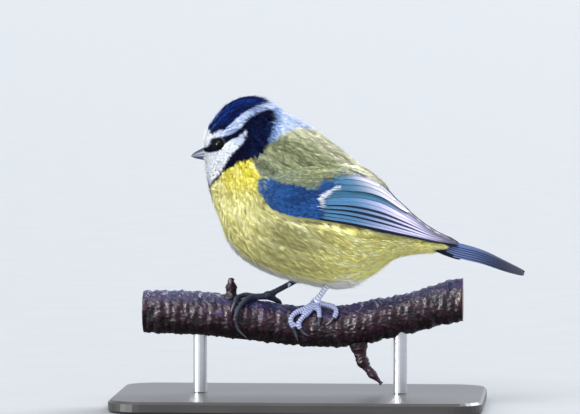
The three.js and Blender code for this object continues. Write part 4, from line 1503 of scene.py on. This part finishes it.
def barkPiece(name, rings, node, amount):
    rows, sides = rings.shape[:2]
    centre = rings.mean(1, keepdims=True)
    flat = rings.reshape(-1, 3)
    height = barkHeight(flat).reshape(rows, sides)
    fade = amount * np.clip(np.minimum(np.arange(rows), np.arange(rows)[::-1]) / 4, 0, 1)[:, None]
    outward = unit(rings - centre)
    rings = rings + outward * (np.minimum(height, 0.35) * fade)[..., None]
    points, faces = tube(rings)
    shade = blendTones(barkShade["deep"], barkShade["red"], smoothStep(-0.4, 0.4, height))
    shade = blendTones(shade, barkShade["grey"], 0.45 * smoothStep(0.2, 0.5, height))
    # Painted reflection: the top of the bark is painted a paler blue-grey, as the sky's sheen on wet bark
    shade = blendTones(shade, barkShade["grey"], 0.3 * smoothStep(0.3, 1.0, outward[..., 2]))
    # Painted shade: the bark is painted darker towards its underside
    shade = shade * np.interp(outward[..., 2], [-1.0, -0.2, 0.4], [0.3, 0.7, 1.0])[..., None]
    shade = shade.reshape(-1, 3)
    cutWood = tone(150, 118, 84)
    colours = np.concatenate([shade, cutWood[None], cutWood[None]])
    piece = meshPiece(name, points, faces, barkPaint, colours)
    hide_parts(node)


def twigGirth(share):
    return 3.0 - 2.3 * share ** 0.7 + 0.2 * np.sin(share * 19)


def budGirth(share):
    return (2.2 - 0.9 * share + 0.25 * np.sin(share * 14)) * np.sqrt(1 - share ** 6 * 0.9)


turns = np.linspace(0, 2 * math.pi, 132, endpoint=False)
places, turns = np.meshgrid(np.linspace(-50, 52, 330), turns, indexing="ij")
barkPiece("branch_bark", branchPoint(places, turns, -0.1), "perch", 1.0)
twigRoot = branchPoint(18.6, math.pi - 0.1, gap - 1.2)
twigLine = [twigRoot, (19.8, -0.6, 15.2), (22.4, -1.0, 11.2), (26.2, -1.4, 7.2)]
barkPiece("twig_bark", bar(twigLine, twigGirth, 40, 70), "perch_twig", 0.7)
budLine = [branchPoint(-22, 0.15, -1.0), (-21.9, -0.8, 38.2), (-22.1, -0.6, 40.8)]
barkPiece("bud_bark", bar(budLine, budGirth, 36, 40), "perch_bud", 0.8)
print("branch ready")

# Stand
baseMaterial, tree, shader = newMaterial("stand_wood")
grain = noiseAt(tree, 420.0, 6.0, 0.6, (0.12, 1.0, 1.0))[0]
rampColour(tree, shader, grain, (0.010, 0.009, 0.009), (0.035, 0.030, 0.028))
shader.inputs["Roughness"].default_value = 0.4
bumpInto(tree, shader, grain, 0.1, 0.05)

rodMaterial, tree, shader = newMaterial("stand_steel")
grain = noiseAt(tree, 300.0, 4.0, stretch=(1.0, 1.0, 25.0))[0]
rampColour(tree, shader, grain, (0.42, 0.43, 0.45), (0.6, 0.61, 0.63))
shader.inputs["Metallic"].default_value = 1.0
shader.inputs["Roughness"].default_value = 0.3
bumpInto(tree, shader, grain, 0.05, 0.02)
for name, material in (
    ("stand_base", baseMaterial), ("stand_rod_front", rodMaterial), ("stand_rod_back", rodMaterial),
):
    for slotHere in nodes[name].material_slots:
        slotHere.material = material

# Floor, light and camera
floorMaterial, tree, shader = newMaterial("floor")
rampColour(tree, shader, noiseAt(tree, 40.0, 4.0)[0], (0.19, 0.195, 0.2), (0.21, 0.215, 0.22))
shader.inputs["Roughness"].default_value = 0.9
floorMesh = bpy.data.meshes.new("floor")
reach = 40.0
floorCorners = [(-reach, -reach, 0), (reach, -reach, 0), (reach, reach, 0), (-reach, reach, 0)]
floorMesh.from_pydata(floorCorners, [], [(0, 1, 2, 3)])
floorMesh.materials.append(floorMaterial)
floor = bpy.data.objects.new("floor", floorMesh)
bpy.context.scene.collection.objects.link(floor)

# The middle of the photo, right of and above the origin
photoMiddle = (-3.19, 63.4)
target = Vector((rightWay * photoMiddle[0] + upWay * photoMiddle[1]) * mm)


def softSun(name, way, width, power, colour):
    # Soft light from one way, even over the floor
    data = bpy.data.lights.new(name, "SUN")
    data.energy = power
    data.angle = width * degree
    data.color = colour
    lamp = bpy.data.objects.new(name, data)
    lamp.rotation_euler = Vector(way).to_track_quat("Z", "Y").to_euler()
    bpy.context.scene.collection.objects.link(lamp)
    return lamp


softSun("key", (-0.35, -0.55, 0.8), 40, 3.1, (1.0, 0.99, 0.97))
softSun("rim", (0.55, 0.6, 0.75), 30, 5.5, (0.92, 0.96, 1.0))
fill = softSun("fill", (0.1, -0.95, 0.06), 60, 2.6, (1.0, 0.99, 0.97))
fill.visible_glossy = False
spark = softSun("spark", (-0.78, -0.58, 0.26), 20, 8.0, (1.0, 1.0, 1.0))
spark.visible_diffuse = False
world = bpy.data.worlds.new("world")
bpy.context.scene.world = world
world.use_nodes = True
world.node_tree.nodes["Background"].inputs["Color"].default_value = (0.85, 0.9, 1.0, 1)
world.node_tree.nodes["Background"].inputs["Strength"].default_value = 1.25

cameraReach = 1.5
cameraData = bpy.data.cameras.new("camera")
cameraData.sensor_width = 36
cameraData.lens = 291.4
cameraData.clip_start = 0.1
cameraData.clip_end = 100
camera = bpy.data.objects.new("camera", cameraData)
camera.location = target + Vector(backWay) * cameraReach
camera.rotation_euler = Vector(backWay).to_track_quat("Z", "Y").to_euler()
bpy.context.scene.collection.objects.link(camera)
bpy.context.scene.camera = camera
bpy.context.scene.view_settings.view_transform = "Standard"
